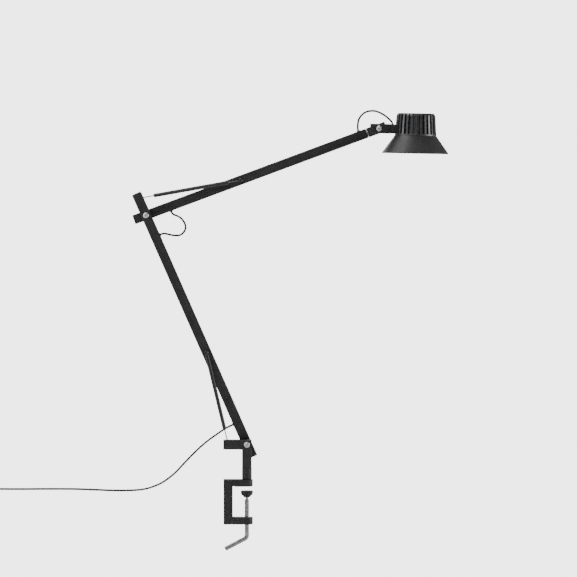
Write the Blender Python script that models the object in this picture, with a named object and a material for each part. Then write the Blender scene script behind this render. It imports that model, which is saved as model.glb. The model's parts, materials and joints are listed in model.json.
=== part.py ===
"""Architect desk lamp with a table clamp, in metres, +Z up.

The origin is on the clamp screw's axis, on the face under the upper jaw that rests on the table top.
+X is the side that the clamp opens to, and the lamp's arms move in planes of constant Y.
"""

import math

import bmesh
import bpy
from mathutils import Matrix, Vector

# Driving dimensions, in metres and degrees.
TUBE = 0.016  # the side of the square tube that the arms and the bracket are made of
WALL = 0.0015
TUBE_CORNER = 0.0016
HALF = TUBE / 2
GAP = 0.0003  # the clearance between two pieces that touch
WASHER = 0.001
LAYER = TUBE + WASHER + 2 * GAP  # from one arm's middle plane to the next one's

BASE_Z = 0.070  # the height of the base bolt
LOWER_ARM = 0.418  # between the bolts of the lower arm
LOWER_FOOT = -0.0220  # where the lower arm's tube starts, from its lower bolt
UPPER_ARM = 0.4155
LOWER_ANGLE = 113.77  # from +X up to the lower arm
UPPER_ANGLE = 20.39
HEAD_ANGLE = -1.2

BOLT_R = 0.003
BOLT_HEAD_R = 0.005
BOLT_HEAD_H = 0.0032
NUT_R = 0.0058
NUT_H = 0.005
WASHER_R = 0.0065
BUSH_R = 0.0050

CABLE_R = 0.00175
MAINS_EXIT_AT = 0.0387  # along the lower arm, where the mains cord leaves it
ELBOW_EXIT_AT = 0.3789  # along the lower arm, where the lead leaves it for the elbow's loop
ELBOW_ENTRY_AT = 0.0412  # along the upper arm, where that loop goes in
HEAD_EXIT_AT = 0.3818  # along the upper arm, where the lead leaves it for the head
CABLE_HOLE_R = 0.0029
SLEEVE_R = 0.0032
SLEEVE_LENGTH = 0.127
SPRING_PIN_AT = 0.168  # from the arm's lower bolt to its spring pin
ANCHOR_AT = 0.031  # from a joint's bolt to the pin that holds the spring's wire
ANCHOR_PIN_R = 0.0015
WIRE_SLOT = 0.0022  # half the width of the slots that the wires run in
WIRE_R = 0.001
LOWER_WIRE_SHOWS = 0.0270  # of the wire, between the sleeve and the anchor pin
UPPER_WIRE_SHOWS = 0.0257

CLAMP_DEPTH = 0.019
SPINE_X0, SPINE_X1 = -0.0389, -0.0238
JAW_X1 = 0.0099
UPPER_JAW_TOP = 0.0117
UPPER_JAW_UNDER = 0.0010
LOWER_JAW_TOP, LOWER_JAW_UNDER = -0.0515, -0.0632
LINER = 0.0007

COLLAR_TOP = 0.0317
COLLAR_R = 0.0082
BAR_X0, BAR_X1 = -0.0393, 0.0078

FOOT_R = 0.0102
FOOT_TOP, FOOT_UNDER = -0.0073, -0.0185
SCREW_SHOULDER = -0.0217
SCREW_R = 0.0037
SCREW_BEND_Z = -0.0860
HANDLE_ANGLE = -152.6  # from +X to the handle, which slopes down to the left
HANDLE = 0.0410

HEAD_AXIS_X = 0.0609  # from the head bolt to the middle of the shade
NECK_HOLE_X = 0.0222  # from the head bolt to the hole that the lead goes into
SINK_TOP, SINK_UNDER = 0.0268, -0.0104
SHADE_TOP, SHADE_RIM_Z = -0.0107, -0.0406
SHADE_TOP_R, SHADE_RIM_R = 0.0350, 0.0554
SHADE_WALL = 0.0014
FINS = 27
BUTTON_R = 0.006

COIL_AT = (-0.452, -0.0850)
COIL_R = 0.0175  # to the middle of the turns
COIL_HALF = 0.0072  # half the width of the bundle of turns
COIL_H = 0.0138

COLOURS = {
    "black_metal": ((0.020, 0.020, 0.022), 0.45, 0.0),
    "black_plastic": ((0.015, 0.015, 0.016), 0.55, 0.0),
    "bright_steel": ((0.60, 0.60, 0.62), 0.28, 1.0),
    "spring_steel": ((0.32, 0.32, 0.33), 0.40, 1.0),
    "dark_aluminium": ((0.045, 0.045, 0.048), 0.50, 0.3),
    "cable_black": ((0.030, 0.030, 0.032), 0.60, 0.0),
    "rubber": ((0.020, 0.020, 0.020), 0.85, 0.0),
    "white_plastic": ((0.80, 0.80, 0.78), 0.45, 0.0),
    "brass": ((0.70, 0.52, 0.24), 0.35, 1.0),
}


# Scene and placing


def clear_scene():
    for o in list(bpy.data.objects):
        bpy.data.objects.remove(o, do_unlink=True)


def material(slot):
    found = bpy.data.materials.get(slot)
    if found:
        return found
    colour, roughness, metallic = COLOURS[slot]
    made = bpy.data.materials.new(slot)
    made.use_nodes = True
    shader = made.node_tree.nodes["Principled BSDF"]
    shader.inputs["Base Color"].default_value = (*colour, 1)
    shader.inputs["Roughness"].default_value = roughness
    shader.inputs["Metallic"].default_value = metallic
    return made


def turn(angle):
    """The rotation that lays local +X at this angle above world +X, in the XZ plane."""
    return (0, -math.radians(angle), 0)


def joint_frame(name, x, y, z, angle, parent=None):
    """An empty on a joint's axis; what is modelled along its local X lies along the arm."""
    empty = bpy.data.objects.new(name, None)
    empty.location = (x, y, z)
    empty.rotation_euler = turn(angle)
    empty.empty_display_size = 0.02
    empty.parent = parent
    bpy.context.scene.collection.objects.link(empty)
    return empty


def place(name, bm, slot, parent=None, location=(0, 0, 0), rotation=(0, 0, 0)):
    """Makes a named object from a bmesh, with flat faces crisp and round ones smooth."""
    bmesh.ops.recalc_face_normals(bm, faces=bm.faces)
    mesh = bpy.data.meshes.new(name)
    bm.to_mesh(mesh)
    bm.free()
    mesh.materials.append(material(slot))
    mesh.shade_smooth()
    mesh.set_sharp_from_angle(angle=math.radians(35))
    made = bpy.data.objects.new(name, mesh)
    made.location, made.rotation_euler, made.parent = location, rotation, parent
    bpy.context.scene.collection.objects.link(made)
    return made


def boolean(target, bm, operation):
    """Cuts a shape out of target, or joins one to it; the shape is given in target's own space."""
    name = f"{target.name}_{operation.lower()}_{len(target.modifiers)}"
    tool = place(name, bm, "black_metal", target.parent, target.location, target.rotation_euler)
    tool.hide_render = True
    tool.display_type = "WIRE"
    change = target.modifiers.new(name, "BOOLEAN")
    change.operation = operation
    change.object = tool


def cut(target, *shapes):
    for bm in shapes:
        boolean(target, bm, "DIFFERENCE")


def join(target, *shapes):
    for bm in shapes:
        boolean(target, bm, "UNION")


# Shapes


def moved(bm, x=0.0, y=0.0, z=0.0):
    bmesh.ops.translate(bm, vec=(x, y, z), verts=bm.verts)
    return bm


def rotated(bm, degrees, axis):
    bmesh.ops.transform(bm, matrix=Matrix.Rotation(math.radians(degrees), 4, axis), verts=bm.verts)
    return bm


def extruded(outline, low, high, axis="Z"):
    """A solid with this outline: in XY along Z, in XZ along Y, or in YZ along X."""
    at = {
        "Z": lambda p, t: (p[0], p[1], t),
        "Y": lambda p, t: (p[0], t, p[1]),
        "X": lambda p, t: (t, p[0], p[1]),
    }[axis]
    bm = bmesh.new()
    ends = [[bm.verts.new(at(p, t)) for p in outline] for t in (low, high)]
    bm.faces.new(ends[0])
    bm.faces.new(ends[1])
    n = len(outline)
    for i in range(n):
        j = (i + 1) % n
        bm.faces.new((ends[0][i], ends[0][j], ends[1][j], ends[1][i]))
    bmesh.ops.recalc_face_normals(bm, faces=bm.faces)
    return bm


def hollow(outer, inner, low, high):
    """A tube along X between two outlines of as many points each, open at both ends."""
    bm = bmesh.new()
    rings = [[bm.verts.new((x, *p)) for p in line] for line in (outer, inner) for x in (low, high)]
    n = len(outer)
    for i in range(n):
        j = (i + 1) % n
        for a, b in ((0, 1), (1, 3), (3, 2), (2, 0)):
            bm.faces.new((rings[a][i], rings[a][j], rings[b][j], rings[b][i]))
    bmesh.ops.recalc_face_normals(bm, faces=bm.faces)
    return bm


def rounded_box_outline(a0, a1, b0, b1, radius, steps=3):
    """A rectangle with round corners."""
    points = []
    corners = ((a1, b1, 0), (a0, b1, 90), (a0, b0, 180), (a1, b0, 270))
    for a, b, start in corners:
        ca = a - math.copysign(radius, a - (a0 + a1) / 2)
        cb = b - math.copysign(radius, b - (b0 + b1) / 2)
        for i in range(steps + 1):
            t = math.radians(start + 90 * i / steps)
            points.append((ca + radius * math.cos(t), cb + radius * math.sin(t)))
    return points


def block(x0, x1, y0, y1, z0, z1):
    bm = bmesh.new()
    bmesh.ops.create_cube(bm, size=1)
    bmesh.ops.scale(bm, vec=(x1 - x0, y1 - y0, z1 - z0), verts=bm.verts)
    return moved(bm, (x0 + x1) / 2, (y0 + y1) / 2, (z0 + z1) / 2)


def soft_block(x0, x1, half_width, z0, z1, radius=TUBE_CORNER):
    """A bar along X with round long edges."""
    return extruded(rounded_box_outline(-half_width, half_width, z0, z1, radius), x0, x1, "X")


def turned(profile, steps=24):
    """A solid of revolution about Z. The profile is a closed line of (radius, height)."""
    bm = bmesh.new()
    line = [bm.verts.new((r, 0, z)) for r, z in profile]
    edges = [bm.edges.new((a, b)) for a, b in zip(line, line[1:] + line[:1], strict=True)]
    on_axis = [e for e in edges if all(abs(v.co.x) < 1e-9 for v in e.verts)]
    bmesh.ops.delete(bm, geom=on_axis, context="EDGES")
    left = bm.verts[:] + bm.edges[:]
    bmesh.ops.spin(bm, geom=left, axis=(0, 0, 1), cent=(0, 0, 0), angle=math.tau, steps=steps, use_merge=True)
    bmesh.ops.remove_doubles(bm, verts=bm.verts, dist=1e-6)
    bmesh.ops.recalc_face_normals(bm, faces=bm.faces)
    return bm


def rod(radius, low, high, steps=20):
    return turned([(0, low), (radius, low), (radius, high), (0, high)], steps)


def ring(inner, outer, low, high, steps=24):
    return turned([(inner, low), (outer, low), (outer, high), (inner, high)], steps)


def along_y(bm):
    """Turns what is modelled about Z to lie along +Y."""
    return rotated(bm, -90, "X")


def along_x(bm):
    return rotated(bm, 90, "Y")


def smooth_route(points, step):
    """Points about a step apart on a centripetal Catmull-Rom curve through the route's own points."""
    p = [Vector(q) for q in points]
    p = [2 * p[0] - p[1], *p, 2 * p[-1] - p[-2]]
    fine = []
    for a, b, c, d in zip(p, p[1:], p[2:], p[3:]):
        t = [0.0]
        for u, v in ((a, b), (b, c), (c, d)):
            t.append(t[-1] + max((v - u).length, 1e-6) ** 0.5)
        for k in range(24):
            s = t[1] + (t[2] - t[1]) * k / 24
            ab = a.lerp(b, (s - t[0]) / (t[1] - t[0]))
            bc = b.lerp(c, (s - t[1]) / (t[2] - t[1]))
            cd = c.lerp(d, (s - t[2]) / (t[3] - t[2]))
            abc = ab.lerp(bc, (s - t[0]) / (t[2] - t[0]))
            bcd = bc.lerp(cd, (s - t[1]) / (t[3] - t[1]))
            fine.append(abc.lerp(bcd, (s - t[1]) / (t[2] - t[1])))
    fine.append(p[-2])
    length = sum((v - u).length for u, v in zip(fine, fine[1:]))
    count = max(2, round(length / step))
    out, passed, nearest = [fine[0]], 0.0, 1
    for u, v in zip(fine, fine[1:]):
        here = (v - u).length
        while nearest < count and passed + here >= length * nearest / count:
            out.append(u.lerp(v, (length * nearest / count - passed) / here))
            nearest += 1
        passed += here
    out.append(fine[-1])
    return out


def wire(name, points, radius, slot, parent=None, resolution=2):
    """A round wire or cable through the points, with closed ends."""
    curve = bpy.data.curves.new(name, "CURVE")
    curve.dimensions = "3D"
    curve.bevel_depth = radius
    curve.bevel_resolution = resolution
    curve.use_fill_caps = True
    spline = curve.splines.new("POLY")
    spline.points.add(len(points) - 1)
    for target, p in zip(spline.points, points, strict=True):
        target.co = (*p, 1)
    curve.materials.append(material(slot))
    made = bpy.data.objects.new(name, curve)
    made.parent = parent
    bpy.context.scene.collection.objects.link(made)
    return made


# Fasteners


def button_screw(length):
    """A button-head screw along +Y with the underside of its head at 0 and a hexagon socket."""
    h, r = BOLT_HEAD_H, BOLT_HEAD_R
    dome = [(r * math.cos(t), -h * 0.35 - h * 0.65 * math.sin(t)) for t in (0, 0.35, 0.7, 1.05)]
    profile = [(0, -h), (r * 0.3, -h), *dome[::-1], (r, 0), (BOLT_R, 0), (BOLT_R, length), (0, length)]
    return along_y(turned(profile, 24))


def screw_socket():
    """The hexagon hole in a button head."""
    across, deep = 0.0019, 0.0022
    socket = turned([(0, -0.001), (across, -0.001), (across, deep), (0, deep)], 6)
    return along_y(moved(socket, 0, 0, -BOLT_HEAD_H))


def nut():
    corners = [math.radians(60 * i) for i in range(6)]
    hexagon = [(NUT_R * math.cos(t), NUT_R * math.sin(t)) for t in corners]
    return extruded(hexagon, 0, NUT_H, "Y")


def joint_fasteners(kind, frame):
    """One joint's bolt and lock nut, through the member at the frame's origin and the one behind."""
    head_y = -HALF - GAP
    nut_y = LAYER + HALF + GAP
    shank = nut_y + NUT_H + 0.0015 - head_y
    bolt = place(f"{kind}_bolt", moved(button_screw(shank), 0, head_y), "bright_steel", frame)
    cut(bolt, moved(screw_socket(), 0, head_y))
    lock = place(f"{kind}_nut", moved(nut(), 0, nut_y), "bright_steel", frame)
    cut(lock, moved(along_y(rod(BOLT_R + GAP, -0.001, NUT_H + 0.001)), 0, nut_y))


def flanged_bush(name, frame):
    """A nylon bush for a joint bolt, whose flange keeps the arm off the member in front."""
    front = -HALF - GAP
    profile = [(BOLT_R + GAP, front - WASHER), (WASHER_R, front - WASHER), (WASHER_R, front)]
    profile += [(BUSH_R, front), (BUSH_R, HALF), (BOLT_R + GAP, HALF)]
    place(name, along_y(turned(profile, 20)), "white_plastic", frame)


# Clamp


def jaw_outline(x0, x1, half):
    """The outline of a jaw from above, with a round end at x1."""
    centre = x1 - half
    arc = [math.radians(-90 + 15 * i) for i in range(13)]
    return [(x0, -half), *((centre + half * math.cos(t), half * math.sin(t)) for t in arc), (x0, half)]


def clamp():
    half = CLAMP_DEPTH / 2
    spine = rounded_box_outline(SPINE_X0, SPINE_X1, -half, half, 0.0012)
    frame = place("clamp_frame", extruded(spine, LOWER_JAW_UNDER, UPPER_JAW_TOP), "black_metal")
    inset = SPINE_X0 + 0.002
    join(
        frame,
        extruded(jaw_outline(inset, JAW_X1, half), UPPER_JAW_UNDER, UPPER_JAW_TOP),
        extruded(jaw_outline(inset, JAW_X1, half), LOWER_JAW_UNDER, LOWER_JAW_TOP),
    )
    cut(
        frame,
        rod(0.0060, UPPER_JAW_UNDER - 0.001, UPPER_JAW_TOP + 0.001, 28),
        rod(0.0075, UPPER_JAW_UNDER - 0.001, 0.0056, 28),
        rod(SCREW_R + GAP, LOWER_JAW_UNDER - 0.001, LOWER_JAW_TOP + 0.001, 24),
    )
    liner = jaw_outline(-0.0205, JAW_X1 - 0.0008, half - 0.0008)
    place("jaw_liner", extruded(liner, 0, LINER), "rubber")
    bush = [(0.0043, 0.0059), (0.0057, 0.0059), (0.0057, UPPER_JAW_TOP + GAP)]
    flange = [(0.0078, UPPER_JAW_TOP + GAP), (0.0078, 0.0128), (0.0043, 0.0128)]
    place("swivel_bush", turned([*bush, *flange], 28), "black_plastic")


def clamp_screw():
    socket = [(0.0024, FOOT_UNDER), (0.0024, -0.0150), (0.0034, -0.0140), (0.0034, -0.0108), (0, -0.0108)]
    cap = [(0, FOOT_TOP), (FOOT_R - 0.0006, FOOT_TOP), (FOOT_R, FOOT_TOP - 0.0006), (FOOT_R, -0.0112)]
    skirt = [(FOOT_R - 0.0010, -0.0138), (FOOT_R - 0.0042, -0.0166), (0.0046, FOOT_UNDER)]
    place("screw_foot", turned([*cap, *skirt, *socket], 28), "black_plastic")
    place("clamp_screw", bent_screw(), "bright_steel")


def bent_screw():
    """The clamp screw: a tip held in the foot, a straight rod, and an end bent aside as a handle."""
    angle = math.radians(HANDLE_ANGLE)
    slope = Vector((math.cos(angle), 0, math.sin(angle)))
    bend_r = 0.008
    sweep = -math.pi / 2 - angle
    tangent = bend_r * math.tan(sweep / 2)
    first = Vector((0, 0, SCREW_BEND_Z + tangent))
    centre = first - Vector((bend_r, 0, 0))
    tip = ((-0.0112, 0.0024), (-0.0118, 0.0030), (-0.0134, 0.0030))
    tip += ((-0.0148, 0.0021), (SCREW_SHOULDER, 0.0021))
    shank = ((SCREW_SHOULDER - 0.00005, SCREW_R - 0.0006), (SCREW_SHOULDER - 0.0006, SCREW_R))
    stations = [(Vector((0, 0, z)), r) for z, r in (*tip, *shank)]
    for i in range(7):
        t = sweep * i / 6
        stations.append((centre + bend_r * Vector((math.cos(t), 0, -math.sin(t))), SCREW_R))
    end = Vector((0, 0, SCREW_BEND_Z)) + HANDLE * slope
    stations += [(end - 0.0006 * slope, SCREW_R), (end, SCREW_R - 0.0006)]
    bm = bmesh.new()
    rings = []
    for i, (p, r) in enumerate(stations):
        ahead = (stations[min(i + 1, len(stations) - 1)][0] - stations[max(i - 1, 0)][0]).normalized()
        side = Vector((0, 1, 0)).cross(ahead).normalized()
        steps = [math.tau * k / 16 for k in range(16)]
        across = [math.cos(t) * side + Vector((0, math.sin(t), 0)) for t in steps]
        rings.append([bm.verts.new(p + r * v) for v in across])
    for a, b in zip(rings, rings[1:]):
        for k in range(16):
            bm.faces.new((a[k], a[(k + 1) % 16], b[(k + 1) % 16], b[k]))
    bm.faces.new(rings[0])
    bm.faces.new(rings[-1])
    return bm


# Bracket


def bracket(frame):
    stud = [(0, COLLAR_TOP), (COLLAR_R - 0.0004, COLLAR_TOP)]
    stud += [(COLLAR_R, COLLAR_TOP - 0.0004), (COLLAR_R, 0.0131)]
    stud += [(0.0040, 0.0131), (0.0040, 0.0062), (0.0023, 0.0062), (0.0023, 0.0170), (0, 0.0170)]
    place("swivel_collar", turned(stud, 28), "black_metal", frame)
    screw = [(0, 0.0014), (0.0056, 0.0014), (0.0056, 0.0036), (0.0068, 0.0036), (0.0068, 0.0050)]
    screw += [(0.0020, 0.0050), (0.0020, 0.0160), (0, 0.0160)]
    place("swivel_screw", turned(screw, 20), "bright_steel", frame)

    bar_low, bar_high = BASE_Z - HALF, BASE_Z + HALF
    square = rounded_box_outline(-HALF, HALF - 0.0002, -HALF, HALF, TUBE_CORNER)
    post = extruded(square, COLLAR_TOP + GAP, bar_high - 0.001)
    body = place("bracket", post, "black_metal", frame)
    join(body, soft_block(BAR_X0 + 0.0015, BAR_X1, HALF, bar_low, bar_high))
    wire_room = soft_block(BAR_X0 - 0.001, -0.0185, HALF - WALL, bar_low + WALL, bar_high - WALL, 0.001)
    slot = block(BAR_X0 - 0.001, -0.0205, -WIRE_SLOT, WIRE_SLOT, BASE_Z, bar_high + 0.001)
    pin_hole = moved(anchor_pin_hole(), -ANCHOR_AT, 0, BASE_Z)
    bolt_hole = moved(along_y(rod(BOLT_R + GAP, -HALF - 0.001, HALF + 0.001)), 0, 0, BASE_Z)
    cut(body, wire_room, slot, pin_hole, bolt_hole)

    cap = soft_block(BAR_X0, BAR_X0 + 0.0012, HALF, bar_low, bar_high)
    plug = place("bracket_end_plug", cap, "black_plastic", frame)
    inside = HALF - WALL - GAP
    join(plug, soft_block(BAR_X0 + 0.001, BAR_X0 + 0.0040, inside, BASE_Z - inside, BASE_Z + inside, 0.001))
    slot_low = bar_low + 0.0010
    cut(plug, block(BAR_X0 - 0.001, BAR_X0 + 0.006, -WIRE_SLOT, WIRE_SLOT, slot_low, bar_high + 0.001))
    place("lower_anchor_pin", moved(anchor_pin(), -ANCHOR_AT, 0, BASE_Z), "bright_steel", frame)


# Arms


def anchor_pin():
    """The stub in a tube's far wall that the end of a spring's wire hooks over."""
    return along_y(rod(ANCHOR_PIN_R, 0.0014, HALF - 0.0001, 12))


def anchor_pin_hole():
    return along_y(rod(ANCHOR_PIN_R + GAP, HALF - 0.003, HALF + 0.001, 12))


def arm_tube(name, frame, start, end, cuts):
    outer = rounded_box_outline(-HALF, HALF, -HALF, HALF, TUBE_CORNER)
    inner = rounded_box_outline(-HALF + WALL, HALF - WALL, -HALF + WALL, HALF - WALL, TUBE_CORNER / 2)
    tube = place(name, hollow(outer, inner, start, end), "black_metal", frame)
    cut(tube, *cuts)


def end_plug(name, frame, at, side):
    """A push-in plug at the arm's end; side is the way it faces, -1 or 1."""
    inside = HALF - WALL - GAP
    cap = sorted((at + side * GAP, at + side * 0.0018))
    body = sorted((at - side * 0.0030, at + side * 0.0008))
    plug = place(name, soft_block(*cap, HALF, -HALF, HALF), "black_plastic", frame)
    join(plug, soft_block(*body, inside, -inside, inside, 0.0008))
    return plug


def through_hole(x, radius):
    return moved(along_y(rod(radius, -HALF - 0.001, HALF + 0.001)), x)


def cable_hole(x, side):
    """A round hole in the arm's upper (1) or lower (-1) face, in its own frame."""
    low, high = sorted((side * (HALF - 0.003), side * (HALF + 0.002)))
    return moved(rod(CABLE_HOLE_R, low, high, 16), x)


def grommet(name, frame, x, side):
    """A rubber ring in a cable hole, with a flange outside."""
    a, b, c = HALF - WALL - 0.0006, HALF + GAP, HALF + 0.0010
    profile = [(0.00205, a), (0.0026, a), (0.0026, b), (0.0038, b), (0.0036, c), (0.00205, c)]
    bm = turned(profile, 16)
    if side < 0:
        rotated(bm, 180, "X")
    place(name, moved(bm, x), "rubber", frame)


def inner_cable(start, start_side, end, end_side):
    """The cable inside an arm, from one cable hole to the other; each side is its face, 1 or -1."""
    first = [Vector((start, 0, start_side * z)) for z in (0.0059, 0.0040)]
    last = [Vector((end, 0, end_side * z)) for z in (0.0040, 0.0059)]
    along = [(start, 0, start_side * 0.0030), (start + 0.0035, 0, start_side * 0.0005)]
    along += [(start + 0.015, 0.0005, 0), (start + 0.08, 0.002, 0)]
    along += [(end - 0.08, 0.002, 0), (end - 0.015, 0.0005, 0)]
    along += [(end - 0.0035, 0, end_side * 0.0005), (end, 0, end_side * 0.0030)]
    return [*first, *smooth_route(along, 0.0125), *last]


def spring_pin_hole():
    return moved(along_y(rod(0.0020 + GAP, -HALF - 0.001, -HALF + 0.003, 12)), SPRING_PIN_AT)


def spring_pin(name, frame):
    """The pin in the arm's near face that the spring's far eye goes round."""
    tip = -LAYER - 0.0022
    profile = [(0, tip - 0.0012), (0.0026, tip - 0.0012), (0.0026, tip), (0.0018, tip)]
    profile += [(0.0018, tip + 0.0044), (0.0026, tip + 0.0044), (0.0026, -HALF - GAP)]
    profile += [(0.0018, -HALF - GAP), (0.0018, -HALF + 0.0040), (0, -HALF + 0.0040)]
    place(name, moved(along_y(turned(profile, 16)), SPRING_PIN_AT), "black_metal", frame)


def spring_frame(name, arm_frame, anchor):
    """An empty on the spring pin with +X along the spring, to its anchor. It returns the length too."""
    pin, to = Vector((SPRING_PIN_AT, -LAYER, 0)), Vector((anchor[0], -LAYER, anchor[1]))
    line = to - pin
    empty = bpy.data.objects.new(name, None)
    empty.location = pin
    empty.rotation_euler = (0, -math.atan2(line.z, line.x), 0)
    empty.parent = arm_frame
    bpy.context.scene.collection.objects.link(empty)
    return empty, line.length


def spring(which, arm_frame, anchor, wire_shows):
    """A tension spring in its sleeve, between the arm's pin and the next member's anchor pin."""
    frame, length = spring_frame(f"{which}_spring_line", arm_frame, anchor)
    near_end = length - wire_shows
    far_end = near_end - SLEEVE_LENGTH
    tube = ring(SLEEVE_R - 0.00045, SLEEVE_R, far_end, near_end, 14)
    place(f"{which}_spring_sleeve", along_x(tube), "black_plastic", frame)
    eye_r, coil_r, pitch, per_turn = 0.0028, 0.0019, 0.0085, 6
    eye = [math.radians(45 + 45 * i) for i in range(8)]
    path = [Vector((eye_r * math.cos(t), 0, eye_r * math.sin(t))) for t in eye]
    start = max(far_end, 0.004) + 0.004
    turns = int((near_end - 0.022 - start) / pitch)
    path.append(Vector((start - 0.002, 0, 0)))
    for k in range(turns * per_turn + 1):
        t = math.tau * k / per_turn
        path.append(Vector((start + pitch * k / per_turn, coil_r * math.sin(t), coil_r * math.cos(t))))
    wire(f"{which}_spring_coil", path, 0.0005, "spring_steel", frame, 0)
    eye_r = 0.0026
    loop = [math.radians(180 + 30 * i) for i in range(11)]
    hook = [Vector((near_end - 0.030, 0, 0)), Vector((near_end, 0, 0)), Vector((length - eye_r, 0, 0))]
    hook += [Vector((length + eye_r * math.cos(t), 0, eye_r * math.sin(t))) for t in loop[1:]]
    wire(f"{which}_spring_hook", hook, WIRE_R, "spring_steel", frame, 2)


def lower_arm(frame):
    top = LOWER_ARM + 0.040
    anchor_x = LOWER_ARM + ANCHOR_AT
    slot = block(anchor_x - 0.0205, anchor_x + 0.0045, -WIRE_SLOT, WIRE_SLOT, -HALF - 0.001, -HALF + 0.003)
    holes = [through_hole(0, BUSH_R + GAP), through_hole(LOWER_ARM, BOLT_R + GAP), spring_pin_hole()]
    holes += [cable_hole(MAINS_EXIT_AT, 1), cable_hole(ELBOW_EXIT_AT, -1)]
    holes += [slot, moved(anchor_pin_hole(), anchor_x)]
    arm_tube("lower_arm_tube", frame, LOWER_FOOT, top - 0.0015, holes)
    end_plug("lower_arm_foot_plug", frame, LOWER_FOOT, -1)
    top_plug = end_plug("lower_arm_top_plug", frame, top - 0.0015, 1)
    cut(top_plug, block(top - 0.0060, top - 0.0011, -WIRE_SLOT, WIRE_SLOT, -HALF, HALF))
    flanged_bush("base_bush", frame)
    spring_pin("lower_spring_pin", frame)
    grommet("mains_cord_grommet", frame, MAINS_EXIT_AT, 1)
    grommet("elbow_loop_lower_grommet", frame, ELBOW_EXIT_AT, -1)
    inside = inner_cable(MAINS_EXIT_AT, 1, ELBOW_EXIT_AT, -1)
    wire("lower_arm_cable", inside, CABLE_R, "cable_black", frame)
    place("upper_anchor_pin", moved(anchor_pin(), anchor_x), "bright_steel", frame)


def upper_arm(frame):
    end = UPPER_ARM - 0.0215
    holes = [through_hole(0, BUSH_R + GAP), spring_pin_hole()]
    holes += [cable_hole(ELBOW_ENTRY_AT, -1), cable_hole(HEAD_EXIT_AT, 1)]
    arm_tube("upper_arm_tube", frame, -0.0205, end, holes)
    end_plug("upper_arm_end_plug", frame, -0.0205, -1)
    flanged_bush("elbow_bush", frame)
    spring_pin("upper_spring_pin", frame)
    grommet("elbow_loop_upper_grommet", frame, ELBOW_ENTRY_AT, -1)
    grommet("head_loop_grommet", frame, HEAD_EXIT_AT, 1)
    inner = inner_cable(ELBOW_ENTRY_AT, -1, HEAD_EXIT_AT, 1)
    wire("upper_arm_cable", inner, CABLE_R, "cable_black", frame)
    inside = HALF - WALL - GAP
    bearing = soft_block(end - 0.0065, end, inside, -inside, inside, 0.0008)
    socket = place("wrist_socket", bearing, "white_plastic", frame)
    cut(socket, moved(along_x(rod(0.0043, -0.010, 0.010)), end - 0.004))
    washer = along_x(ring(0.0043, 0.0070, end + GAP, end + GAP + 0.0012, 28))
    place("wrist_washer", washer, "bright_steel", frame)


def wrist(frame):
    """The block that turns about the upper arm's line and carries the head's bolt."""
    start, end = -0.0200, 0.0123
    body = place("wrist_block", soft_block(start, end, HALF, -HALF, HALF), "black_metal", frame)
    stub = [(0, start + 0.004), (0.0040, start + 0.004), (0.0040, start - 0.0085)]
    stub += [(0.0030, start - 0.0085), (0.0030, start - 0.0105), (0.0038, start - 0.0105)]
    stub += [(0.0038, start - 0.0117), (0, start - 0.0117)]
    join(body, along_x(turned(stub, 20)))
    cut(body, through_hole(0, BOLT_R + GAP))
    clip = along_x(ring(0.0033, 0.0058, start - 0.0102, start - 0.0092, 20))
    place("wrist_clip", clip, "spring_steel", frame)
    washer = moved(along_y(ring(BOLT_R + GAP, WASHER_R, 0, WASHER)), 0, -HALF - GAP - WASHER)
    place("head_washer", washer, "bright_steel", frame)


# Head


def head_support(frame):
    bar = place("head_bar", soft_block(-0.0150, 0.0190, HALF, -HALF, HALF), "black_metal", frame)
    cut(bar, through_hole(0, BOLT_R + GAP))
    half = HALF - 0.0003
    neck = place("head_neck", soft_block(0.0190 + GAP, 0.0305, half, -half, half), "black_plastic", frame)
    cut(neck, moved(rod(CABLE_R + 2 * GAP, HALF - 0.0040, HALF + 0.001, 12), NECK_HOLE_X))


def fin_outline(outer, groove):
    """A heat sink's outline at one height, as (radius, angle): fins with grooves between them."""
    points = []
    shares = ((0.0, 1.0), (0.46, 1.0), (0.58, 0.0), (0.88, 0.0))
    for i in range(FINS):
        for along, height in shares:
            points.append((outer - groove * (1 - height), math.tau * (i + along) / FINS))
    return points


def heat_sink_shape():
    """The finned body as rings of points from its underside up."""
    levels = ((SINK_UNDER, 0.0348, 0.0), (-0.0090, 0.0348, 0.0), (-0.0068, 0.0346, 0.0040))
    levels += ((0.0231, 0.0325, 0.0040), (SINK_TOP, 0.0294, 0.0030))
    bm = bmesh.new()
    rings = []
    for z, outer, groove in levels:
        outline = fin_outline(outer, groove)
        rings.append([bm.verts.new((r * math.cos(a), r * math.sin(a), z)) for r, a in outline])
    n = len(rings[0])
    for a, b in zip(rings, rings[1:]):
        for i in range(n):
            bm.faces.new((a[i], a[(i + 1) % n], b[(i + 1) % n], b[i]))
    bm.faces.new(rings[0])
    bm.faces.new(rings[-1])
    bmesh.ops.recalc_face_normals(bm, faces=bm.faces)
    return bm


def shade_inside(z):
    """The shade's inner radius at a height below the head's bolt line."""
    high, low = SHADE_TOP - SHADE_WALL - 0.0004, SHADE_RIM_Z + 0.0010
    return SHADE_TOP_R - SHADE_WALL + (SHADE_RIM_R - SHADE_TOP_R) * (high - z) / (high - low)


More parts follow.
